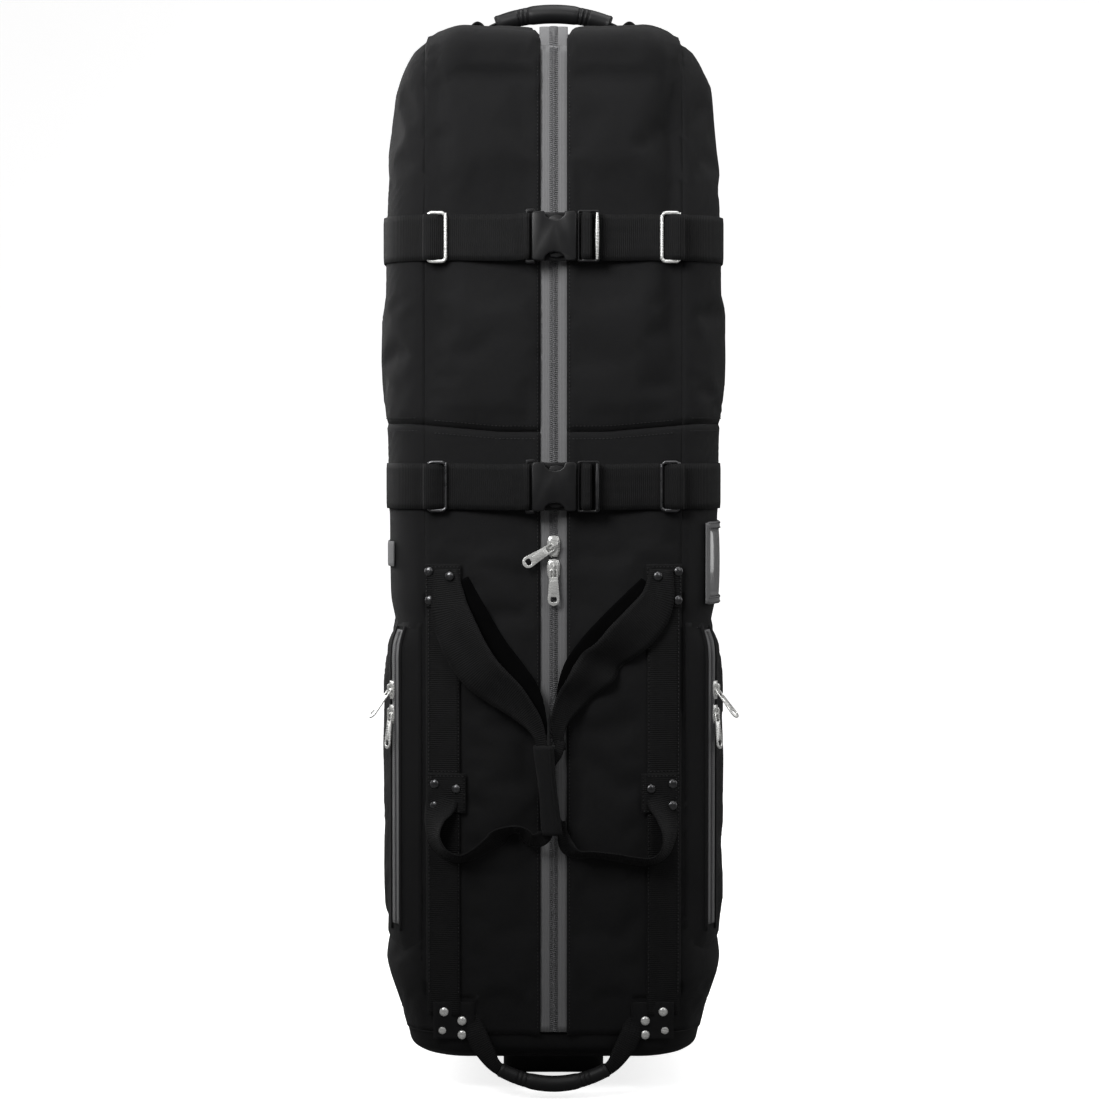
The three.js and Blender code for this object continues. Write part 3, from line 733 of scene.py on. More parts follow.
def shaped_body():
    points, faces, above = body_mesh()
    normals = vertex_normals(points, faces)
    x, y, z = points.T
    ax = np.abs(x)
    rise = 9 * unit((ax - 60) / 100) * bell(z, SEAM_Z, 60)
    points = points + normals * swell(x, y, z, *normals.T)[:, None]
    beside_zip = bell(ax, 12, 11) * (y < -100)
    dip = TOP_SAG + 6.0 * ease(unit((-30 - y) / 80)) + 4.5 * beside_zip
    points[:, 2] += rise - unit((z - 1130) / 60) * dip
    free = press(z) * (1 - bell(z, SEAM_Z, 13)) * (1 - bell(z, 1200, 40))
    sewn = bell(ax, FLAP_EDGE, 9) + np.exp(-((ax / 19) ** 4)) * (y < 0)
    sewn = sewn + (ax > 97) * (ax < 146) * (z < 606) * (y < -120)
    sewn = sewn + (ax > 150) * (z > 530) * (z < 652) * (y < -20)
    points = drape(points, faces, unit(1 - free * (1 - unit(sewn))))
    return points, faces, above


def cut_mesh(points, faces, above):
    """The skin with clean edge loops along the flaps and the hood seam."""
    bm = bmesh.new()
    made = [bm.verts.new(p) for p in points]
    tag = bm.faces.layers.int.new("above")
    for face, upper in zip(faces, above):
        bm.faces.new([made[i] for i in face])[tag] = int(upper)
    cuts = [((s * x, 0, 0), (1, 0, 0)) for x in (FLAP_EDGE, ZIP_EDGE, FLAP_FOOT_EDGE) for s in (1, -1)]
    cuts += [((0, FLAP_BACK_Y, 0), (0, 1, 0)), ((0, 0, FLAP_FOOT_Z), (0, 0, 1))]
    for at, normal in cuts:
        geometry = bm.verts[:] + bm.edges[:] + bm.faces[:]
        if normal[0]:
            geometry = [g for g in geometry if near_front(g)]
        bmesh.ops.bisect_plane(bm, geom=geometry, plane_co=at, plane_no=normal, dist=0.02)
    return bm, tag


def near_front(element):
    corners = [element] if isinstance(element, bmesh.types.BMVert) else element.verts
    return all(v.co.y < -60 for v in corners)


def region_of(face, upper):
    """Which sewn panel a face of the skin belongs to."""
    c = face.calc_center_median()
    ax = abs(c.x)
    if ax < FLAP_EDGE and c.y < FLAP_BACK_Y and (c.z > FLAP_FOOT_Z or ax < FLAP_FOOT_EDGE):
        if ax < ZIP_EDGE and c.y < -120:
            return None
        return ("flap_hood_" if upper else "flap_body_") + ("right" if c.x > 0 else "left")
    return "hood_wrap" if upper else "body_wrap"


PANEL_OWNERS = {
    "flap_hood_left": ("left_flap", "front_flap_left"),
    "flap_hood_right": ("right_flap", "front_flap_right"),
    "flap_body_left": ("left_flap",),
    "flap_body_right": ("right_flap",),
    "hood_wrap": ("case", "padded_hood"),
    "body_wrap": ("case", "lower_shell"),
}


def add_fabric():
    bm, tag = cut_mesh(*shaped_body())
    groups = {}
    for face in bm.faces:
        groups.setdefault(region_of(face, face[tag]), []).append(face)
    for region, owner in PANEL_OWNERS.items():
        index = {}
        faces = [tuple(index.setdefault(v, len(index)) for v in face.verts) for face in groups[region]]
        made = mesh_piece(region, [v.co.copy() for v in index], faces, "cloth")
        made.data.materials.append(FINISH["lining"].material)
        modifier(made, "SOLIDIFY", thickness=4.5 * MM, offset=-1, material_offset=1, use_even_offset=False)
        put(made, *owner)
    bm.free()


# ---------------------------------------------------------------- placing things on the skin


def half_width(z):
    return float(np.interp(z, LEVELS[:, 0], LEVELS[:, 1]))


def crown_at(*values):
    """swell() at one point: x, y, z and the normal."""
    return float(swell(*[np.array([v], float) for v in values])[0])


def front_skin(x, z):
    """Depth of the front skin at x and z."""
    front = float(np.interp(z, LEVELS[:, 0], LEVELS[:, 2]))
    over = min(max(0.0, abs(x) - (half_width(z) - FRONT_CORNER)), FRONT_CORNER)
    depth = front + FRONT_CORNER - math.sqrt(FRONT_CORNER**2 - over**2)
    return depth - crown_at(x, depth, z, 0, -1, 0)


def round_side(side, z, turn, grow, half=None):
    """A point on the front corner, turn degrees round from facing the front, and its outward normal."""
    a = math.radians(turn)
    r = FRONT_CORNER + grow
    x = (half or half_width(z)) - FRONT_CORNER + r * math.sin(a)
    y = FRONT_Y + FRONT_CORNER - r * math.cos(a)
    return (side * x, y, z), (side * math.sin(a), -math.cos(a), 0)


def side_skin(y, z):
    """Half width of the skin where it faces sideways."""
    half = half_width(z)
    return half + crown_at(half, y, z, 1, 0, 0)


# ---------------------------------------------------------------- zippers

# depth and height up the front and over the top, and the way the tape faces there
ZIP_PROFILE = [
    (-166.4, 74, -1, 0),
    (-166.4, 400, -1, 0),
    (-166.4, 800, -1, 0),
    (-166.4, 1136, -1, 0),
    (-165.6, 1153, -1, 0.05),
    (-163.6, 1167, -0.95, 0.3),
    (-158.5, 1180, -0.8, 0.6),
    (-149.0, 1188, -0.4, 0.9),
    (-134.0, 1191.2, -0.1, 1),
    (-117.0, 1192.4, 0, 1),
]
TOOTH = [(-0.55, -0.2), (0.55, -0.2), (0.66, 0.75), (0.34, 1.5), (-0.34, 1.5), (-0.66, 0.75)]


def chain(name, path, reach, body, side, pitch=2.15, phase=0.0):
    """Coil teeth along a path of [point, outward normal, across]; side is the tape they are sewn to."""
    where = np.array([[*p, *n, *a] for p, n, a in path], float)
    run = run_along(where[:, :3])
    points, faces = [], []
    for k in range(int((run[-1] - 2) // pitch)):
        values = [np.interp(1 + phase + k * pitch, run, column) for column in where.T]
        at = Vector(values[:3])
        out = Vector(values[3:6]).normalized()
        across = Vector(values[6:9]).normalized()
        along = out.cross(across)
        faces += skin_faces(4, len(TOOTH), len(points))
        for x, shrink in ((reach, 0.72), (reach * 0.55, 1), (-0.9, 1), (-1.7, 0.6)):
            points += [at + across * (side * x) + along * a * shrink + out * b * shrink for a, b in TOOTH]
    made = mesh_piece(name, points, faces, "coil")
    clean(made.data)
    return put(made, body)


def both_ways(half):
    """An outline from the points of its right half, in order from the bottom."""
    left = [(-x, y) for x, y in half[::-1]]
    return left[-1:] + half + left[:-1]


def slider(name, place, lean, lift, zip_body, tab_body):
    """A nickel slider and its pull, standing in for the CAD pair of the same name."""
    low = both_ways([(4, -12), (7, -5), (7.2, 5), (5.4, 10.6), (1.6, 11.4)])
    top = both_ways([(3.4, -11), (5.8, -5), (6, 4), (4.4, 9.6)])
    front = place @ FACING_FRONT
    leaning = spin(lean, "Y")
    arch = [(0, -4.4, -5.6), (0, -7.6, -5.5), (0, -8.9, -4.2), (0, -8.9, 0)]
    arch += [(x, y, -z) for x, y, z in arch[-2::-1]]
    body = join(
        name + "_slider_body",
        plate(name + "_a", [low], -1.0, 2.6, "nickel", front, 0.8),
        plate(name + "_b", [top], 2.2, 5.1, "nickel", front, 1.1),
        tube(name + "_c", [place @ leaning @ Vector(p) for p in arch], 1.15, 26, "nickel", 8),
    )
    smooth(body, 40)
    put(body, zip_body, name + "_slider")

    hang = place @ Matrix.Translation((0, -6.3, 0)) @ leaning @ spin(-lift, "X") @ FACING_FRONT
    end, half = -33.4, 6.6
    outline = [(-4.6, -1.4), (-4.9, -9), (-5.2, -15), (-half, end + 2)]
    outline += [(half * math.cos(a), end + half * math.sin(a)) for a in np.linspace(math.pi, 2 * math.pi, 13)]
    outline += [(half, end + 2), (5.2, -15), (4.9, -9), (4.6, -1.4), (3.4, 0.8), (-3.4, 0.8)]
    holes = [rounded(-3.1, 3.1, -8.8, -1.5, 1.2, 4), rounded(-3.5, 3.5, end - 2.6, end + 3.2, 1.8, 4)]
    tab = plate(name + "_tab_a", [outline, *holes], -0.85, 0.85, "nickel", hang, 0.45)
    panel = [rounded(-3.6, 3.6, end + 7, -12, 1.5, 3)]
    panel = plate(name + "_tab_b", panel, -1.15, 1.15, "nickel", hang, 0.4)
    put(join(name + "_pull_tab", tab, panel), tab_body, name + "_pull")


def add_main_zipper():
    for word, side in SIDES.items():
        flap = f"{word}_flap"
        rows = [[side * 8.1, y, z, 15.4, 0, ny, nz] for y, z, ny, nz in ZIP_PROFILE]
        tape = ribbon(f"main_tape_{word}", rows, 150, thickness=1.3, finish="tape", cup=0.25)
        put(tape, flap, f"zipper_tape_{word}")
        rows, _ = spline([[y, z, 0, ny, nz] for y, z, ny, nz in ZIP_PROFILE[:-1]], 260)
        path = [((0, y - 0.55, z), (0, ny, nz), (1, 0, 0)) for y, z, _, ny, nz in rows]
        chain(f"main_coil_{word}", path, 4.6, flap, side, phase=0.0 if side > 0 else 1.07)
        row = [((side * 17.6, front_skin(17.6, z) - 0.2, z), (0, -1, 0)) for z in range(78, 1160, 12)]
        stitches(f"tape_stitching_{word}", [row], flap)
    for name, z, lean, lift in (("main_upper", 616, 58, 9), ("main_lower", 590, 0, 0)):
        slider(name, Matrix.Translation((0, -168.6, z)), lean, lift, name + "_zip", name + "_tab")


# ---------------------------------------------------------------- side pockets

POCKET_LOW, POCKET_HIGH = 150.0, 530.0
POCKET_BODY = half_width(340)
POCKET_CORNER = 66.0
ZIP_TURN = 60.0
FIRST_TURN = 30.0
POCKET_REACH = POCKET_CORNER * math.radians(90 - FIRST_TURN)
POCKET_LENGTH = POCKET_REACH + 229


def pocket_offset(u, v):
    """How far the pocket stands off the body: u runs from its front edge back, v from bottom to top."""
    across = 1 - abs(2 * u - 1) ** 12
    if u < 0.1:
        across = ease(u / 0.1)
    if u > 0.86:
        across = math.sin((1 - u) / 0.14 * math.pi / 2) ** 0.8
    return 0.4 + 8.8 * across * ease(min(1, min(v, 1 - v) / 0.085))


def pocket_point(side, u, v, extra=0.0):
    """A point of the pocket's face and its outward normal."""
    z = POCKET_LOW + (POCKET_HIGH - POCKET_LOW) * v
    s = u * POCKET_LENGTH
    grow = pocket_offset(u, v) + extra
    if s >= POCKET_REACH:
        return (side * (POCKET_BODY + grow), FRONT_Y + FRONT_CORNER + s - POCKET_REACH, z), (side, 0, 0)
    a = math.radians(FIRST_TURN + math.degrees(s / POCKET_CORNER))
    r = FRONT_CORNER + grow
    x = POCKET_BODY - FRONT_CORNER + r * math.sin(a)
    y = FRONT_Y + FRONT_CORNER - (r - grow * 0.35) * math.cos(a)
    return (side * x, y, z), (side * math.sin(a), -math.cos(a), 0)


def pocket_skin(side, u, v):
    """A point of the padded face before it settles, and how firmly it is held."""
    at, normal = pocket_point(side, u, v)
    inner = min(u, 1 - u, v * 1.2, (1 - v) * 1.2)
    hold = 1.0 if inner < 0.05 or u < 0.2 else max(0.0, 1 - (inner - 0.05) * 9)
    if not 0.16 < u < 0.95:
        return at, hold
    puff = 3.6 * math.sin(math.pi * u) ** 0.6 * math.sin(math.pi * v) ** 0.5
    puff += 1.4 * noise.noise(Vector((at[1] / 55, at[2] / 60, side * 9.0))) * (u > 0.2)
    puff *= min(1, (u - 0.16) / 0.1) if u < 0.5 else min(1, (1 - u) / 0.12)
    return [at[k] + normal[k] * puff for k in range(3)], hold


def add_pockets():
    columns, rows = 58, 66
    for word, side in SIDES.items():
        spots = [(c / columns, r / rows) for r in range(rows + 1) for c in range(columns + 1)]
        points, hold = zip(*[pocket_skin(side, u, v) for u, v in spots])
        corners = [r * (columns + 1) + c for r in range(rows) for c in range(columns)]
        faces = [(a, a + 1, a + columns + 2, a + columns + 1)[::side] for a in corners]
        points = np.array(points, float)
        points = drape(points, faces, hold, reach=4.0, slack=0.022, pressure=2.5)
        made = mesh_piece(f"pocket_cloth_{word}", points, faces, "cloth")
        modifier(made, "SOLIDIFY", thickness=2.0 * MM, offset=-1)
        put(made, "case", f"side_pocket_{word}")
        add_pocket_zipper(word, side)
        lines = [[pocket_point(side, 0.985, v, 0.4) for v in np.linspace(0.04, 0.96, 60)]]
        for v in (0.985, 0.015):
            lines.append([pocket_point(side, u, v, 0.6) for u in np.linspace(0.05, 0.95, 60)])
        stitches(f"pocket_stitching_{word}", lines, "case")


def add_pocket_zipper(word, side):
    u = POCKET_CORNER * math.radians(ZIP_TURN - FIRST_TURN) / POCKET_LENGTH
    heights = np.linspace(191, 521, 24)

    def on_pocket(z, extra, shift=0.0):
        v = (z - POCKET_LOW) / (POCKET_HIGH - POCKET_LOW)
        return pocket_point(side, u + shift / POCKET_LENGTH, v, extra)

    frames = [[*at, 17.0, *normal] for at, normal in [on_pocket(z, 0.35) for z in heights]]
    put(ribbon(f"pocket_tape_{word}", frames, 70, thickness=1.0, finish="tape", cup=0.2), "case")
    path = [(at, n, Vector((n[1], -n[0], 0)) * -side) for at, n in [on_pocket(z, 0.9) for z in heights]]
    chain(f"pocket_coil_{word}_a", path, 3.0, "case", 1, pitch=2.4)
    chain(f"pocket_coil_{word}_b", path, 3.0, "case", -1, pitch=2.4, phase=1.2)
    for shift, tag in ((-9.5, "front"), (9.5, "back")):
        cord = [on_pocket(z, 0.6, shift)[0] for z in np.linspace(184, 525, 20)]
        put(tube(f"pocket_welt_{word}_{tag}", cord, 1.9, 60, "cloth", 8), "case")
    a = math.radians(ZIP_TURN)
    off = POCKET_CORNER + 0.6
    seat_x = POCKET_BODY + 9 - POCKET_CORNER + off * math.sin(a)
    seat_y = FRONT_Y + POCKET_CORNER - off * math.cos(a)
    for end, z, lift in (("upper", 454, 40), ("lower", 427, 6)):
        name = f"pocket_{word}_{end}"
        seat = Matrix.Translation((side * seat_x, seat_y, z)) @ spin(side * ZIP_TURN, "Z")
        slider(name, seat, 0, lift, name + "_zip", name + "_tab")


# ---------------------------------------------------------------- compression straps


def wire_ring(name, outline, depth, wire, count, finish, segments, body, *nodes):
    """A slide bent from wire, lying in a plane that looks ahead."""
    path = [(x, depth, z) for x, z in outline]
    return put(tube(name, path, wire, count, finish, segments, closed=True), body, *nodes)


def from_strap(rows, z):
    """Ribbon frames whose heights are given from the middle of the strap."""
    return [[x, y, z + up, *rest] for x, y, up, *rest in rows]


# left front webbing: loops round its slide, then runs to the buckle socket
LEFT_FRONT_WEBBING = [
    *((-127, -171.4, 0, 50, 0, -1, 0), (-138, -172.0, 0, 50, -0.3, -1, 0), (-143.4, -174.8, 0, 50, -1, 0, 0)),
    *((-138, -178.2, 0, 50, 0, -1, 0), (-130, -176.4, 0, 50, 0.3, -1, 0), (-119, -171.4, 0, 50.8, 0, -1, 0)),
    *((-104, -171.2, 0, 50.8, -0.1, -1, 0), (-84, -174.2, -0.4, 50.8, -0.2, -1, 0)),
    *((-62, -177.9, -0.8, 50.8, -0.1, -1, 0), (-46, -181.2, -0.8, 50.8, 0.2, -1, 0)),
    *((-37, -188.0, -0.4, 50.8, -0.5, -1, 0), (-31.5, -192.4, 0, 50.6, -0.2, -1, 0)),
    *((-27.6, -192.6, 0, 50.4, 0.3, -1, 0), (-25.2, -188.6, 0, 50.2, 1, -0.3, 0)),
]
RIGHT_FRONT_WEBBING = mirror(LEFT_FRONT_WEBBING[:9])
RIGHT_FRONT_WEBBING += [(50, -181.0, -0.4, WEBBING), (44, -182.8, 0, WEBBING), (29, -182.2, 0, WEBBING)]
# how the webbing goes round the middle bar of the ladder
LADDER_LOOP = [
    *((30.6, -186.2, 0, 50.2, -1, 0, 0), (31.6, -192.4, 0, 50.2, -0.7, -1, 0), (34, -193.6, 0, 50.2)),
    *((38, -193.6, 0, 50.2), (40.6, -192.2, 0, 50.2, 0.7, -1, 0), (41.6, -186.2, 0, 50.2, 1, 0, 0)),
]


def add_compression_straps():
    for word, z in STRAP_Z.items():
        half = half_width(z)
        for hand, s in SIDES.items():
            flap = f"{hand}_flap"
            around = [[s * 126, -169.6, z, WEBBING], [s * 142, -168.2, z, WEBBING]]
            for turn in (18, 32, 46, 60, 74, 88):
                at, normal = round_side(s, z, turn, 2.2, half)
                around.append([*at, WEBBING, *normal])
            around += [[s * (half + 2.4), y, z, WEBBING, s, 0, 0] for y in (-60, -10, 40, 98)]
            strap = ribbon(f"{word}_side_webbing_{hand}", around, 70, thickness=1.9)
            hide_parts(f"{word}_side_strap_{hand}")
            start, end = [(s * x * MM, -0.166, z * MM) for x in (151, 135)]
            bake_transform(strap)
            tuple(start)
            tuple(end)
            box_stitch(f"{word}_side_stitch_{hand}", s * (half + 3.5), (72, 96), (z - 21, z + 21), (s, 0, 0))
            x0, x1 = sorted((s * 117, s * 141))
            outline = rounded(x0 + 2, x1 - 2, z - 26.6, z + 26.6, 5)
            name = f"{word}_slide_{hand}"
            # the slide's wire is bright nickel on the upper strap as painted highlight and dark gunmetal on
            # the lower as painted shade
            wire_ring(name, outline, -174.8, 2.0, 90, STRAP_WIRE_LIT_AND_SHADED[word], 12, flap, f"{word}_adjuster_{hand}")
        fronts = (("left", LEFT_FRONT_WEBBING, z), ("right", RIGHT_FRONT_WEBBING, z + 5))
        for hand, rows, seed in fronts:
            name = f"{word}_front_webbing_{hand}"
            made = ribbon(name, from_strap(rows, z), 110, thickness=1.8, wander=0.3, seed=seed)
            put(made, f"{hand}_flap", f"{word}_strap_{hand}")
        add_buckle(word, z)


def box_stitch(name, x, ys, zs, normal):
    """A sewn box and cross, on a face of the case that looks along X."""
    (y0, y1), (z0, z1) = ys, zs
    corners = [((x, y, z), normal) for y, z in ((y0, z0), (y1, z0), (y1, z1), (y0, z1))]
    pairs = ((0, 1), (1, 2), (2, 3), (3, 0), (0, 2), (1, 3))
    stitches(name, [[corners[i], corners[j]] for i, j in pairs], "case")


def add_buckle(word, z):
    """Side release buckle: a smooth square socket with thumb cut-outs, and a ladder plug."""
    at = Matrix.Translation((0, 0, z)) @ FACING_FRONT

    def part(tag, outlines, low, high, edge):
        return plate(f"{word}_{tag}", outlines, low, high, "plastic", at, edge)

    notch = [(12.5, 27), (11, 22), (7, 18.6), (1, 17.4), (-5, 18.6), (-9, 22), (-10.5, 27)]
    rim = [(-24, -24.5), (-21.5, -27)] + [(x, -y) for x, y in notch[::-1]] + [(22.5, -27), (25, -24.5)]
    rim += [(25, 24.5), (22.5, 27)] + notch + [(-21.5, 27), (-24, 24.5)]
    walls = []
    for x0, x1 in ((-23, -13), (15, 24.6)):
        walls += [(x0, x1, -26.4, -22.5), (x0, x1, 22.5, 26.4)]
    walls.append((-23, -20, -23, 23))
    arms = [rounded(-31, -20, -30, 30, 2.5), rounded(-27.4, -22.4, -25.8, 25.8, 1)]
    made = join(
        f"{word}_buckle_body",
        part("face", [rim], 190.5, 196.2, 1.6),
        part("bowl", [rounded(-22.5, 24.6, -26.4, 26.4, 3)], 181.0, 185.0, 0.8),
        part("arms", arms, 184.2, 191.0, 1.2),
        *[part("wall", [rounded(*wall, 0.9, 3)], 184.0, 191.5, 0.3) for wall in walls],
    )
    smooth(made)
    put(made, "left_flap", f"{word}_buckle_socket")

    slots = [rounded(28.2, 31.4, -25.8, 25.8, 1), rounded(40.6, 45.6, -25.8, 25.8, 1)]
    parts = [part("ladder", [rounded(25.8, 50.5, -28.4, 28.4, 3), *slots], 184.4, 192.2, 1.3)]
    prong = [(-6, 18.6), (-3, 22.6), (4, 23.4), (10, 21.4), (27, 19.8), (27, 14.6), (9, 15.6), (-5, 14.8)]
    for sign in (1, -1):
        parts.append(part("prong", [[(x, sign * y) for x, y in prong][::sign]], 186.0, 190.2, 0.9))
    parts.append(part("guide", [rounded(2, 27, -3, 3, 1, 3)], 186.4, 189.8, 0.7))
    reach = np.linspace(-25.4, 25.4, 9)
    bar = [(47.6, -191.4 - 1.5 * math.cos(t / 30), z + t) for t in reach]
    # the ladder's bar is bright nickel on the upper buckle as painted highlight and dark gunmetal on the
    # lower as painted shade
    parts.append(tube(word + "_bar", bar, [2.1 - 0.9 * (t / 25.4) ** 2 for t in reach], 30, STRAP_WIRE_LIT_AND_SHADED[word]))
    made = join(f"{word}_buckle_ladder", *parts)
    smooth(made)
    put(made, f"{word}_plug", f"{word}_buckle_plug")
    put(ribbon(f"{word}_buckle_loop", from_strap(LADDER_LOOP, z), 34, thickness=1.8), f"{word}_plug")


# ---------------------------------------------------------------- carry handles

RIVET = [(0, -0.6), (5.0, -0.6), (5.1, 0.5), (4.7, 1.2), (3.6, 1.9), (2.2, 2.35), (1.1, 2.5), (0.9, 2.2)]
RIVET += [(0, 2.1)]
PANEL_X = 122
PANEL_TILT = 0.17


def rivets(name, spots, finish, body, *nodes):
    """Domed rivet heads; spots are [x, y, z, normal x]."""
    parts = []
    for k, (x, y, z, nx) in enumerate(spots):
        out = Vector((nx, -1, 0)).normalized()
        turn = Vector((0, 0, 1)).rotation_difference(out).to_matrix().to_4x4()
        parts.append(lathe(f"{name}_{k}", RIVET, 20, finish, Matrix.Translation((x, y, z)) @ turn))
    made = join(name, *parts)
    smooth(made, 40)
    put(made, body, *nodes)


def panel_y(x, z, lift):
    """Depth of the plane that the sewn webbing lies on, lift millimetres in front of the skin."""
    return front_skin(PANEL_X, z) - lift + PANEL_TILT * (abs(x) - PANEL_X)


def panel_line(s, spots, lift):
    """A row of stitches on that plane."""
    return [((s * x, panel_y(x, z, lift), z), (s * PANEL_TILT, -1, 0)) for x, z in spots]


# handle webbing, a near-black strip painted as the shadow under its raised upper edge, the loop below the
# hand wrap, and what shows behind the wrap:
# ribbon frames for each strap, from the rivets inwards
CARRY_WEBBING = {
    "left": [
        *((-119, -172.0, 590, 26, -0.1, -1, 0), (-118, -173.6, 575, 31, -0.1, -1, 0)),
        *((-116, -175.8, 559, 37, -0.1, -1, -0.1), (-114, -178.6, 543, 44, -0.15, -1, -0.12)),
        *((-106, -183.0, 521, 48, -0.18, -1, -0.15), (-96, -187.0, 500, 49, -0.2, -1, -0.2)),
        *((-81, -190.5, 478.5, 48, -0.22, -1, -0.2), (-64, -192.5, 463, 44, -0.25, -1, -0.25)),
        *((-48, -194.0, 450, 38, -0.2, -1, -0.2), (-34, -195.0, 436, 29, -0.2, -1, -0.15)),
        *((-23, -195.6, 423, 21, -0.15, -1, -0.1), (-15.5, -195.6, 408, 14), (-12.5, -195.5, 392, 12)),
    ],
    "right": [
        *((119, -172.0, 590, 26, 0.1, -1, 0), (118, -173.6, 575, 31, 0.1, -1, 0)),
        *((115, -175.8, 558, 38, 0.1, -1, -0.1), (107, -179.0, 542, 45, 0.15, -1, -0.12)),
        *((93, -183.0, 526, 49, 0.2, -1, -0.2), (76, -186.0, 511, 49, 0.3, -1, -0.25)),
        *((60, -187.6, 496, 48, 0.55, -1, -0.35), (46, -187.6, 480, 46, 0.1, -1, 0.05)),
        *((28, -186.5, 458, 40, 0.4, -1, -0.3), (16, -184.6, 443, 31, 0.25, -1, -0.1)),
        *((7, -183.0, 425, 21, 0.2, -1, -0.1), (5, -182.0, 408, 14), (8.5, -181.4, 390, 10)),
    ],
}
CARRY_PAINTED_SHADOW = {
    "left": [
        *((-100, -172.5, 580, 12), (-83, -175.0, 541, 21), (-65, -177.5, 506, 26), (-46, -180.0, 481, 26)),
        *((-26, -184.0, 454, 23), (-14, -189.0, 424, 13), (-12, -191.0, 400, 9)),
    ],
    "right": [
        *((102, -172.5, 577, 12), (83, -174.5, 553, 21), (61, -176.0, 529, 24), (40, -177.0, 506, 24)),
        *((21, -178.0, 481, 21), (10, -179.0, 452, 14), (6, -179.5, 420, 9)),
    ],
}
CARRY_LOOP = {
    "left": [
        *((-6, -195.5, 314, 12), (-9, -195.0, 298, 15, 0, -1, -0.3), (-23, -192.0, 292, 24, 0, -0.75, -0.9)),
        *((-38, -188.0, 303, 30, 0.1, -0.45, -1), (-54, -186.5, 301, 33, -0.15, -0.4, -1)),
        *((-68, -186.0, 289, 34, -0.35, -0.4, -1), (-86, -186.0, 277, 34, -0.2, -0.4, -1)),
        *((-104, -186.0, 271, 34, 0, -0.4, -1), (-121, -185.4, 277, 34, -0.6, -0.45, -0.8)),
        *((-132, -183.0, 293, 34, -1, -0.5, -0.1), (-132, -178.5, 312, 34, -0.9, -0.8, 0.1)),
        *((-124, -172.6, 333, 36, -0.2, -1, 0), (-120, -171.0, 350, 36, -0.1, -1, 0)),
    ],
    "right": [
        *((8.5, -181.6, 312, 9), (10, -181.8, 298, 12, 0, -1, -0.1), (15, -184, 284, 18, 0, -0.8, -0.5)),
        *((27, -185.5, 276, 26, 0, -0.5, -1), (46, -186, 275, 31, 0, -0.4, -1)),
        *((70, -186, 272, 33, 0, -0.4, -1), (92, -186, 268, 34, 0, -0.4, -1)),
        (110, -185.6, 268, 34, 0.2, -0.4, -1),
        *((123, -184, 277, 34, 0.8, -0.45, -0.7), (128, -181, 295, 34, 1, -0.55, 0)),
        *((126, -176.8, 315, 34, 0.8, -0.9, 0.1), (121, -172.2, 334, 36, 0.2, -1, 0)),
        (119, -171.0, 350, 36, 0.1, -1, 0),
    ],
}
CARRY_LINK = [
    *((9, -181.4, 400, 10), (4, -182.2, 386, 11), (-6, -182.6, 370, 12)),
    *((-5, -182.6, 340, 12), (1, -182.4, 318, 11), (8.5, -181.6, 304, 9)),
]
# wander and seed of the webbing, and seeds of the painted shadow strip and of the loop
CARRY_WAVES = {"left": (1.8, 3, 4, 11), "right": (2.2, 5, 6, 17)}
ANCHOR_RIVETS = {
    "upper": ((138, 588), (115, 583), (137.5, 556)),
    "lower": ((132, 352), (108, 347), (132, 328)),
}
ANCHOR_LIFTS = {"upper": (3.6, 6.6, 3.6), "lower": (3.6, 3.6, 3.6)}


def add_anchor(tag, word, s, flap):
    """A riveted patch that holds one end of a carry strap."""
    node = f"carry_anchor_{tag}_{word}"
    spots = zip(ANCHOR_RIVETS[tag], ANCHOR_LIFTS[tag])
    heads = [(s * x, panel_y(x, z, lift), z, s * PANEL_TILT) for (x, z), lift in spots]
    rivets(f"{tag}_rivets_{word}", heads, "gunmetal", flap, node)
    low, high = cad_box(node)
    middle = (abs(low[0]) + abs(high[0])) / 2
    shape = [high[0] - low[0] + 2, s * PANEL_TILT, -1, 0]
    heights = np.linspace(low[2], high[2] + 2, 5)
    patch = [[s * middle, panel_y(middle, z, 2.7), z, *shape] for z in heights]
    put(ribbon(f"{tag}_patch_{word}", patch, 24, thickness=1.8), flap)
    x0, x1, z0, z1 = low[0] + 1, high[0] - 1, low[2] + 2, high[2] - 1
    corners = [(abs(x), z) for x, z in ((x0, z0), (x1, z0), (x1, z1), (x0, z1))]
    edge = [panel_line(s, (corners[i], corners[(i + 1) % 4]), 3.7) for i in range(4)]
    stitches(f"{tag}_patch_stitching_{word}", edge, flap)


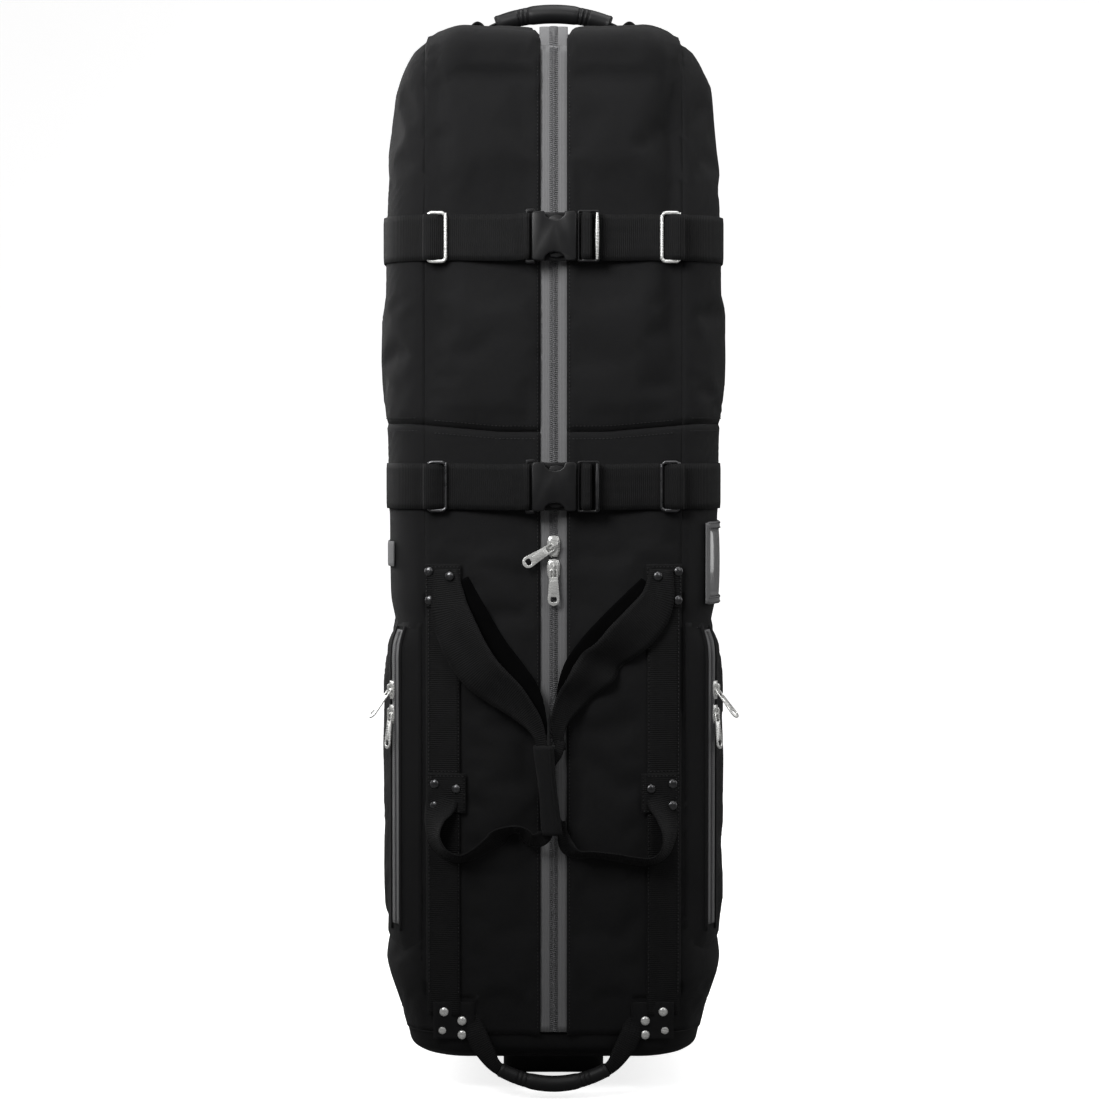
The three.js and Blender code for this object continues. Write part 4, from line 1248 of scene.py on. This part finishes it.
def add_carry_handles():
    for word, s in SIDES.items():
        flap, handle = f"{word}_flap", f"carry_{word}"
        heights = range(92, 600, 26)
        strip = [[s * PANEL_X, panel_y(PANEL_X, z, 1.0), z, 37, s * PANEL_TILT, -1, 0] for z in heights]
        put(ribbon(f"panel_webbing_{word}", strip, 90, thickness=1.7, wander=0.25, seed=s), flap)
        lines = [panel_line(s, [(x, z) for z in range(118, 596, 20)], 2.0) for x in (105.5, 138.5)]
        lines += [panel_line(s, [(x, z) for x in (106, 122, 138)], 2.0) for z in (318, 366)]
        stitches(f"panel_stitching_{word}", lines, flap)
        for tag in ("upper", "lower"):
            add_anchor(tag, word, s, flap)

        wander, seed, shadow_strip_seed, loop_seed = CARRY_WAVES[word]
        # a near-black strip behind the webbing's upper edge: painted shadow of the strap standing off the
        # panel
        rows = CARRY_PAINTED_SHADOW[word]
        fold_and_shadow = ribbon(f"carry_painted_shadow_{word}", rows, 70, thickness=1.6, finish="inner", seed=shadow_strip_seed)
        put(fold_and_shadow, handle)
        waves = {"cup": -1.2, "wander": wander, "seed": seed}
        webbing = ribbon(f"carry_webbing_{word}", CARRY_WEBBING[word], 120, thickness=2.6, **waves)
        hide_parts(f"carry_strap_{word}")
        rows = CARRY_LOOP[word]
        loop = ribbon(f"carry_loop_{word}", rows, 140, thickness=2.6, cup=-0.8, wander=0.8, seed=loop_seed)
        # the webbing and the loop are baked in place and ride no body
        for made in (webbing, loop):
            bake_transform(made)
    put(ribbon("carry_link_right", CARRY_LINK, 50, thickness=2.4), "carry_right")
    add_hand_wrap()


def add_hand_wrap():
    rings, uvs = [], []
    turns = [2 * math.pi * k / 28 for k in range(28)]
    for t in [k / 24 for k in range(25)]:
        z = 299 + 98 * t
        flare = 1 + 0.06 * math.cos(2 * math.pi * t)
        ring = []
        for a in turns:
            c, d = math.cos(a), math.sin(a)
            rx = 10.8 * flare * (1 + 0.05 * noise.noise(Vector((c * 1.5, d * 1.5, z / 22))))
            ring.append((-1.5 - 10 * t + rx * math.copysign(abs(c) ** 0.7, c), -195 + 9.4 * d, z))
        rings.append(ring)
        uvs += [(z, 20 * a) for a in turns]
    put(sweep("hand_wrap_cloth", rings, "cloth", uvs=uvs), "carry_left", "hand_wrap")
    seam = [(4.5 - 10 * (z - 299) / 98, -203.4, z) for z in np.linspace(300, 396, 9)]
    put(tube("hand_wrap_seam", seam, 1.0, 30, "cloth", 8), "carry_left")


# ---------------------------------------------------------------- end handles


def grip(name, y, arch, half_span, in_plane, across, body):
    """A moulded grip over an arch: smooth waist, notched shoulders and lipped ends."""
    rings = []
    turns = [2 * math.pi * i / 36 for i in range(36)]
    for k in range(150):
        x = half_span * (2 * k / 149 - 1)
        far = abs(x) / half_span
        normal = Vector((arch(x - 0.5) - arch(x + 0.5), 0, 1)).normalized()
        size = 0.97 - 0.10 * far**2 + 0.05 * bell(far, 0.97, 0.03)
        size += 0.05 / (1 + math.exp((abs(x) - 26) / 0.8))
        notch = 0.13 * sum(bell(abs(x), c, 1.15) for c in (30, 35, 40))
        ring = []
        for a in turns:
            reach = size - notch * max(0, math.sin(abs(a % math.pi))) ** 0.4
            if far > 0.985:
                reach *= 0.93
            at = Vector((x, y, arch(x))) + normal * (in_plane * reach * math.cos(a))
            at.y = y + across * reach * math.sin(a)
            ring.append(at)
        rings.append(ring)
    made = sweep(name, rings, "rubber")
    smooth(made, 50)
    put(made, body, f"{body}_grip")


def add_top_handle():
    def arch(x):
        return 1226.6 - 13 * (x / 68) ** 2

    grip("top_grip", 0, arch, 66, 10.6, 14, "top_handle")
    strap = [
        *((-104, 0, 1198.6, 23, 0, 0, 1), (-92, 0, 1200.4, 24, -0.1, 0, 1)),
        *((-80, 0, 1207.0, 23, -0.45, 0, 1), (-66, 0, arch(66), 21, -0.4, 0, 1)),
        *((-34, 0, arch(34), 20, -0.2, 0, 1), (0, 0, arch(0), 20, 0, 0, 1)),
    ]
    strap += mirror(strap[-2::-1])
    put(ribbon("top_handle_webbing", strap, 90, thickness=3.0), "top_handle", "top_handle_strap")
    for word, s in SIDES.items():
        arc = [(78 + 22 * t, 1207 - 6 * t + 11 * math.sin(math.pi * t)) for t in np.linspace(0, 1, 9)]
        fold_and_shadow = [[s * x, 0, z, 24, 0, 0, 1] for x, z in arc]
        put(ribbon(f"top_handle_fold_{word}", fold_and_shadow, 24, thickness=3.6), "top_handle")


def add_bottom_handle():
    y = -171.8

    def arch(x):
        return 17 + 17 * (x / 61) ** 2

    grip("bottom_grip", y, arch, 60, 8.8, 9.0, "bottom_handle")
    strap = [(-92, -165.0, 92, 18), (-89, -166.4, 82, 21), (-85, -169.6, 70, 23), (-76, y, 53, 21)]
    strap += [(-62, y, arch(62), 14), (-34, y, arch(34), 13), (0, y, arch(0), 13)]
    strap += [(-x, *rest) for x, *rest in strap[-2::-1]]
    legs = ribbon("bottom_handle_webbing", strap, 120, thickness=3.0, cup=0.8)
    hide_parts("bottom_handle_strap")
    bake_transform(legs)
    for word, s in SIDES.items():
        spots = [(122, 97), (102, 87), (124, 76), (102, 71)]
        heads = [(s * x, front_skin(x, z) - 2.4, z, s * 0.05) for x, z in spots]
        rivets(f"base_rivets_{word}", heads, "nickel", "case", f"bottom_anchor_{word}")
        heights = (66, 72, 80, 90, 100, 108)
        patch = [[s * 111, front_skin(111, z) - 1.0, z, 46, s * 0.04, -1, 0] for z in heights]
        put(ribbon(f"base_patch_{word}", patch, 24, thickness=1.2, finish="cloth"), "case")


# ---------------------------------------------------------------- base, wheels and small items

WHEEL_X, WHEEL_Y, WHEEL_Z = 130, 140, 38
TREAD = [(27, 11.4), (34.5, 11.2), (36.6, 9.2), (37.7, 6), (38, 2)]
HUB = [(11.2, 12), (14, 12), (15.5, 9.5), (24, 8.8), (27.4, 10.4)]


def add_base():
    levels = []
    for row in read_rings("base_tray"):
        outside = not levels or row[1] > levels[-1][1]
        if row[1] > 138 and row[2] < -130 and row[3] > 130 and outside:
            levels.append(row)
    rings = []
    for z, half, front, back in spline(levels, 26)[0]:
        radii = [np.interp(z, [40, 60], ends) for ends in ([47, FRONT_CORNER], [31, REAR_CORNER])]
        rings.append(ring_points(half, front, back, *radii, z))
    rings += [[(x * 0.965, y * 0.965, max(z, 45.2)) for x, y, z in ring] for ring in rings[:2:-1]]
    made = sweep("base_shell", rings, "base")
    for s in SIDES.values():
        cut = new_object("cut", bpy.data.meshes.new("cut"))
        bm = bmesh.new()
        axle = Matrix.Translation([c * MM for c in (s * WHEEL_X, WHEEL_Y, WHEEL_Z)]) @ spin(90, "Y")
        size = {"radius1": 46.5 * MM, "radius2": 46.5 * MM, "depth": 37 * MM}
        bmesh.ops.create_cone(bm, cap_ends=True, segments=48, matrix=axle, **size)
        bm.to_mesh(cut.data)
        bm.free()
        modifier(made, "BOOLEAN", operation="DIFFERENCE", object=cut, solver="EXACT")
        made.data = evaluated_mesh(made)
        made.modifiers.clear()
        bpy.data.objects.remove(cut)
    smooth(made)
    put(made, "case", "base_tray")
    z, half, front, back = LEVELS[0]
    rim = ring_points(half - 0.4, front + 0.4, back - 0.4, FRONT_CORNER, REAR_CORNER, z)
    put(tube("base_piping", rim[::3], 1.1, 260, "webbing", 8, closed=True), "case")

    (x0, y0, z0), (x1, y1, z1) = cad_box("front_foot")
    foot = [plate("foot_block", [rounded(x0, x1, y0, y1, 12, 6)], z0, z1, "rubber", UPRIGHT, 3.0)]
    for y in np.arange(y0 + 5, y1 - 7, 9):
        outline = rounded(x0 + 4, x1 - 4, y, y + 5, 2.2, 3)
        foot.append(plate("foot_rib", [outline], z0 + 0.2, z0 + 3, "rubber", UPRIGHT, 0.8))
    put(join("standing_foot", *foot), "case", "front_foot")


def add_wheels():
    for word, s in SIDES.items():
        turn = Matrix.Translation((s * WHEEL_X, WHEEL_Y, WHEEL_Z)) @ spin(90, "Y")
        tyre, core = [[(r, -h) for r, h in half] + half[::-1] for half in (TREAD, HUB)]
        parts = [lathe(f"tread_{word}", tyre, 64, "tread", turn)]
        parts.append(lathe(f"hub_{word}", core, 64, "plastic", turn))
        spoke = [rounded(15, 26, -1.6, 1.6, 0.6, 2)]
        for k in range(6):
            parts.append(plate(f"spoke_{word}", spoke, -10.2, 10.2, "plastic", turn @ spin(60 * k, "Z"), 0.5))
        made = join(f"skate_wheel_{word}", *parts)
        smooth(made)
        put(made, f"{word}_wheel", f"wheel_{word}")
        for part, finish in (("bearing", "nickel"), ("axle", "nickel"), ("housing", "base")):
            cad = frame["nodes"][f"wheel_{part}_{word}"]
            cad.data.materials.clear()
            cad.data.materials.append(FINISH[finish].material)
            limit = {"limit_method": "ANGLE", "angle_limit": math.radians(40)}
            modifier(cad, "BEVEL", width=0.7 * MM, segments=2, **limit)
            smooth(cad, 30)


def round_patch(side, z, width, turns, ys, grow, lift):
    """Ribbon frames of a patch that goes round the front corner and on along the side."""
    around = [round_side(side, z, turn, grow) for turn in turns]
    path = [[*at, width, *normal] for at, normal in around]
    return path + [[side * (side_skin(y, WINDOW_Z[side]) + lift), y, z, width, side, 0, 0] for y in ys]


# heights at which the side's width is read for the window, on the right, and the blank patch, on the left
WINDOW_Z = {1: 600, -1: 606}


def add_side_items():
    low, high = cad_box("id_window")
    z0, z1 = low[2] - 16, high[2] + 2
    path = round_patch(1, (z0 + z1) / 2, z1 - z0 - 12, (50, 59, 68, 77, 86), (-98, -75, -52), 2.2, 1.8)
    put(ribbon("window_film", path, 40, thickness=0.8, finish="vinyl", cup=1.2), "case")
    rows, _ = spline(path, 40)
    out = [Vector(row[4:7]).normalized() * 0.9 for row in rows]
    middle = [Vector(row[:3]) + n for row, n in zip(rows, out)]
    bands = []
    for z in (z0 + 4, z1 - 4):
        band = [[m.x, m.y, z, 8, *n] for m, n in zip(middle, out)]
        bands.append(ribbon("window_band", band[::3] + [band[-1]], 40, thickness=1.4, finish="tape"))
    for m, n in ((middle[0], out[0]), (middle[-1], out[-1])):
        band = [[m.x, m.y, z, 8, *n] for z in np.linspace(z0 + 1, z1 - 1, 6)]
        bands.append(ribbon("window_post", band, 24, thickness=1.7, finish="tape"))
    put(join("window_frame", *bands), "case", "id_window")
    heights = (z0 + 1.5, z0 + 7, z1 - 7, z1 - 1.5)
    lines = [[((*(m.xy + n.xy), z), n) for m, n in zip(middle, out)] for z in heights]
    stitches("window_stitching", lines, "case")
    patch = round_patch(-1, 606, 28, (61, 69, 77, 85), (-98, -80, -62), 2.4, 1.2)
    put(ribbon("blank_patch", patch, 40, thickness=1.6, finish="tape"), "case")


def add_seam_stitching():
    lines = {"left_flap": [], "right_flap": [], "case": []}
    for word, s in SIDES.items():
        for z in (SEAM_Z - 7.5, SEAM_Z + 6.5):
            rises = [(x, 9 * min(max((x - 60) / 100, 0), 1)) for x in range(20, 139, 6)]
            row = [((s * x, front_skin(x, z) - 0.5, z + rise), (0, -1, 0)) for x, rise in rises]
            lines[f"{word}_flap"].append(row)
            around = [round_side(s, z, turn, 0.2) for turn in range(24, 91, 6)]
            row = [((x, y, up + 9), normal) for (x, y, up), normal in around]
            row += [((s * (side_skin(y, z) + 0.3), y, z + 9), (s, 0, 0)) for y in range(-95, 120, 12)]
            lines["case"].append(row)
    for body, rows in lines.items():
        stitches(f"hood_stitching_{body}", rows, body)


def add_tie_down():
    """The strap inside that holds the clubs: both ends sewn to the back panel, closed by a small slide."""
    spots = ((-150, 150), (-110, 120), (-60, 96), (0, 88), (60, 96), (110, 120), (150, 150))
    path = [[x, y, 640, 38] for x, y in spots]
    put(ribbon("tie_down_webbing", path, 90, thickness=1.8, wander=0.8, seed=23), "case")
    wire_ring("tie_down_slide", rounded(-10, 10, 618, 662, 4), 85.5, 1.7, 70, "gunmetal", 10, "case")


# ---------------------------------------------------------------- stage, light and camera


def add_stage():
    """A floor that curves up into a back wall, bright to the camera and dimmer to the object."""
    rows = [(-9000 + 11500 * k / 24 / 0.6, -0.2) for k in range(15)]
    for a in [(k / 24 - 0.6) / 0.4 * math.pi / 2 for k in range(15, 25)]:
        rows.append((2500 + 1800 * math.sin(a), 1800 * (1 - math.cos(a)) - 0.2))
    rows.append((4300, 9000))
    points = [(x, y, z) for y, z in rows for x in (-12000, 12000)]
    faces = [(2 * k, 2 * k + 1, 2 * k + 3, 2 * k + 2) for k in range(len(rows) - 1)]
    pale = FINISH["floor"] = Finish("pale_floor", (0.85, 0.85, 0.85), 0.9, shine=0.0)
    seen = pale.node("LightPath")["Is Camera Ray"]
    pale.tint(seen, 0.3, 1.0)
    pale.bsdf["Emission Color"].default_value = (1, 1, 1, 1)
    pale.tree.links.new(pale.math("MULTIPLY", seen, 0.8), pale.bsdf["Emission Strength"])
    mesh_piece("pale_floor", points, faces, "floor")


def add_world():
    """Soft white light from all round, brighter to the camera."""
    world = bpy.data.worlds.new("studio")
    bpy.context.scene.world = world
    world.use_nodes = True
    tree = world.node_tree
    background = tree.nodes["Background"].inputs
    background["Color"].default_value = (1, 1, 1, 1)
    seen = tree.nodes.new("ShaderNodeLightPath").outputs["Is Camera Ray"]
    strength = tree.nodes.new("ShaderNodeMath")
    strength.operation = "MULTIPLY_ADD"
    strength.inputs[1].default_value = 0.9
    strength.inputs[2].default_value = 0.16
    tree.links.new(seen, strength.inputs[0])
    tree.links.new(strength.outputs[0], background["Strength"])


# place, target, size, power and spread in degrees
LIGHTS = {
    "key": ((-0.7, -1.3, 1.5), (0, 0, 1.02), (0.7, 0.7), 6.2, 80),
    "fill": ((1.1, -1.45, 1.6), (0, 0, 1.02), (0.8, 1.0), 2.0, 90),
    "rim": ((-1.6, 1.4, 1.6), (0, 0, 0.7), (1.0, 1.6), 22, 180),
    "top": ((0.2, -0.2, 3.0), (0, 0, 0.6), (2.4, 1.6), 40, 180),
    "side_0": ((-2.3, 0.6, 1.3), (0, 0.05, 0.7), (1.2, 1.8), 16, 180),
    "side_2": ((2.3, 0.6, 1.3), (0, 0.05, 0.7), (1.2, 1.8), 16, 180),
}


def add_lights():
    for name, (at, target, size, power, spread) in LIGHTS.items():
        data = bpy.data.lights.new(name, "AREA")
        data.shape = "RECTANGLE"
        data.size, data.size_y = size
        data.energy = power
        data.spread = math.radians(spread)
        lamp = new_object(name, data)
        lamp.location = at
        lamp.rotation_euler = (Vector(target) - Vector(at)).to_track_quat("-Z", "Y").to_euler()


def add_camera():
    data = bpy.data.cameras.new("camera")
    data.sensor_width = 36
    data.lens = 89.75
    data.clip_end = 40
    camera = new_object("camera", data)
    camera.location = (-0.004, -3.2, 0.728)
    camera.rotation_euler = (math.radians(90 - 2.2), 0, 0)
    bpy.context.scene.camera = camera


add_fabric()
add_main_zipper()
add_pockets()
add_compression_straps()
add_carry_handles()
add_top_handle()
add_bottom_handle()
add_base()
add_wheels()
add_side_items()
add_seam_stitching()
add_tie_down()
add_stage()
add_world()
add_lights()
add_camera()

bpy.context.scene.view_settings.view_transform = "Standard"
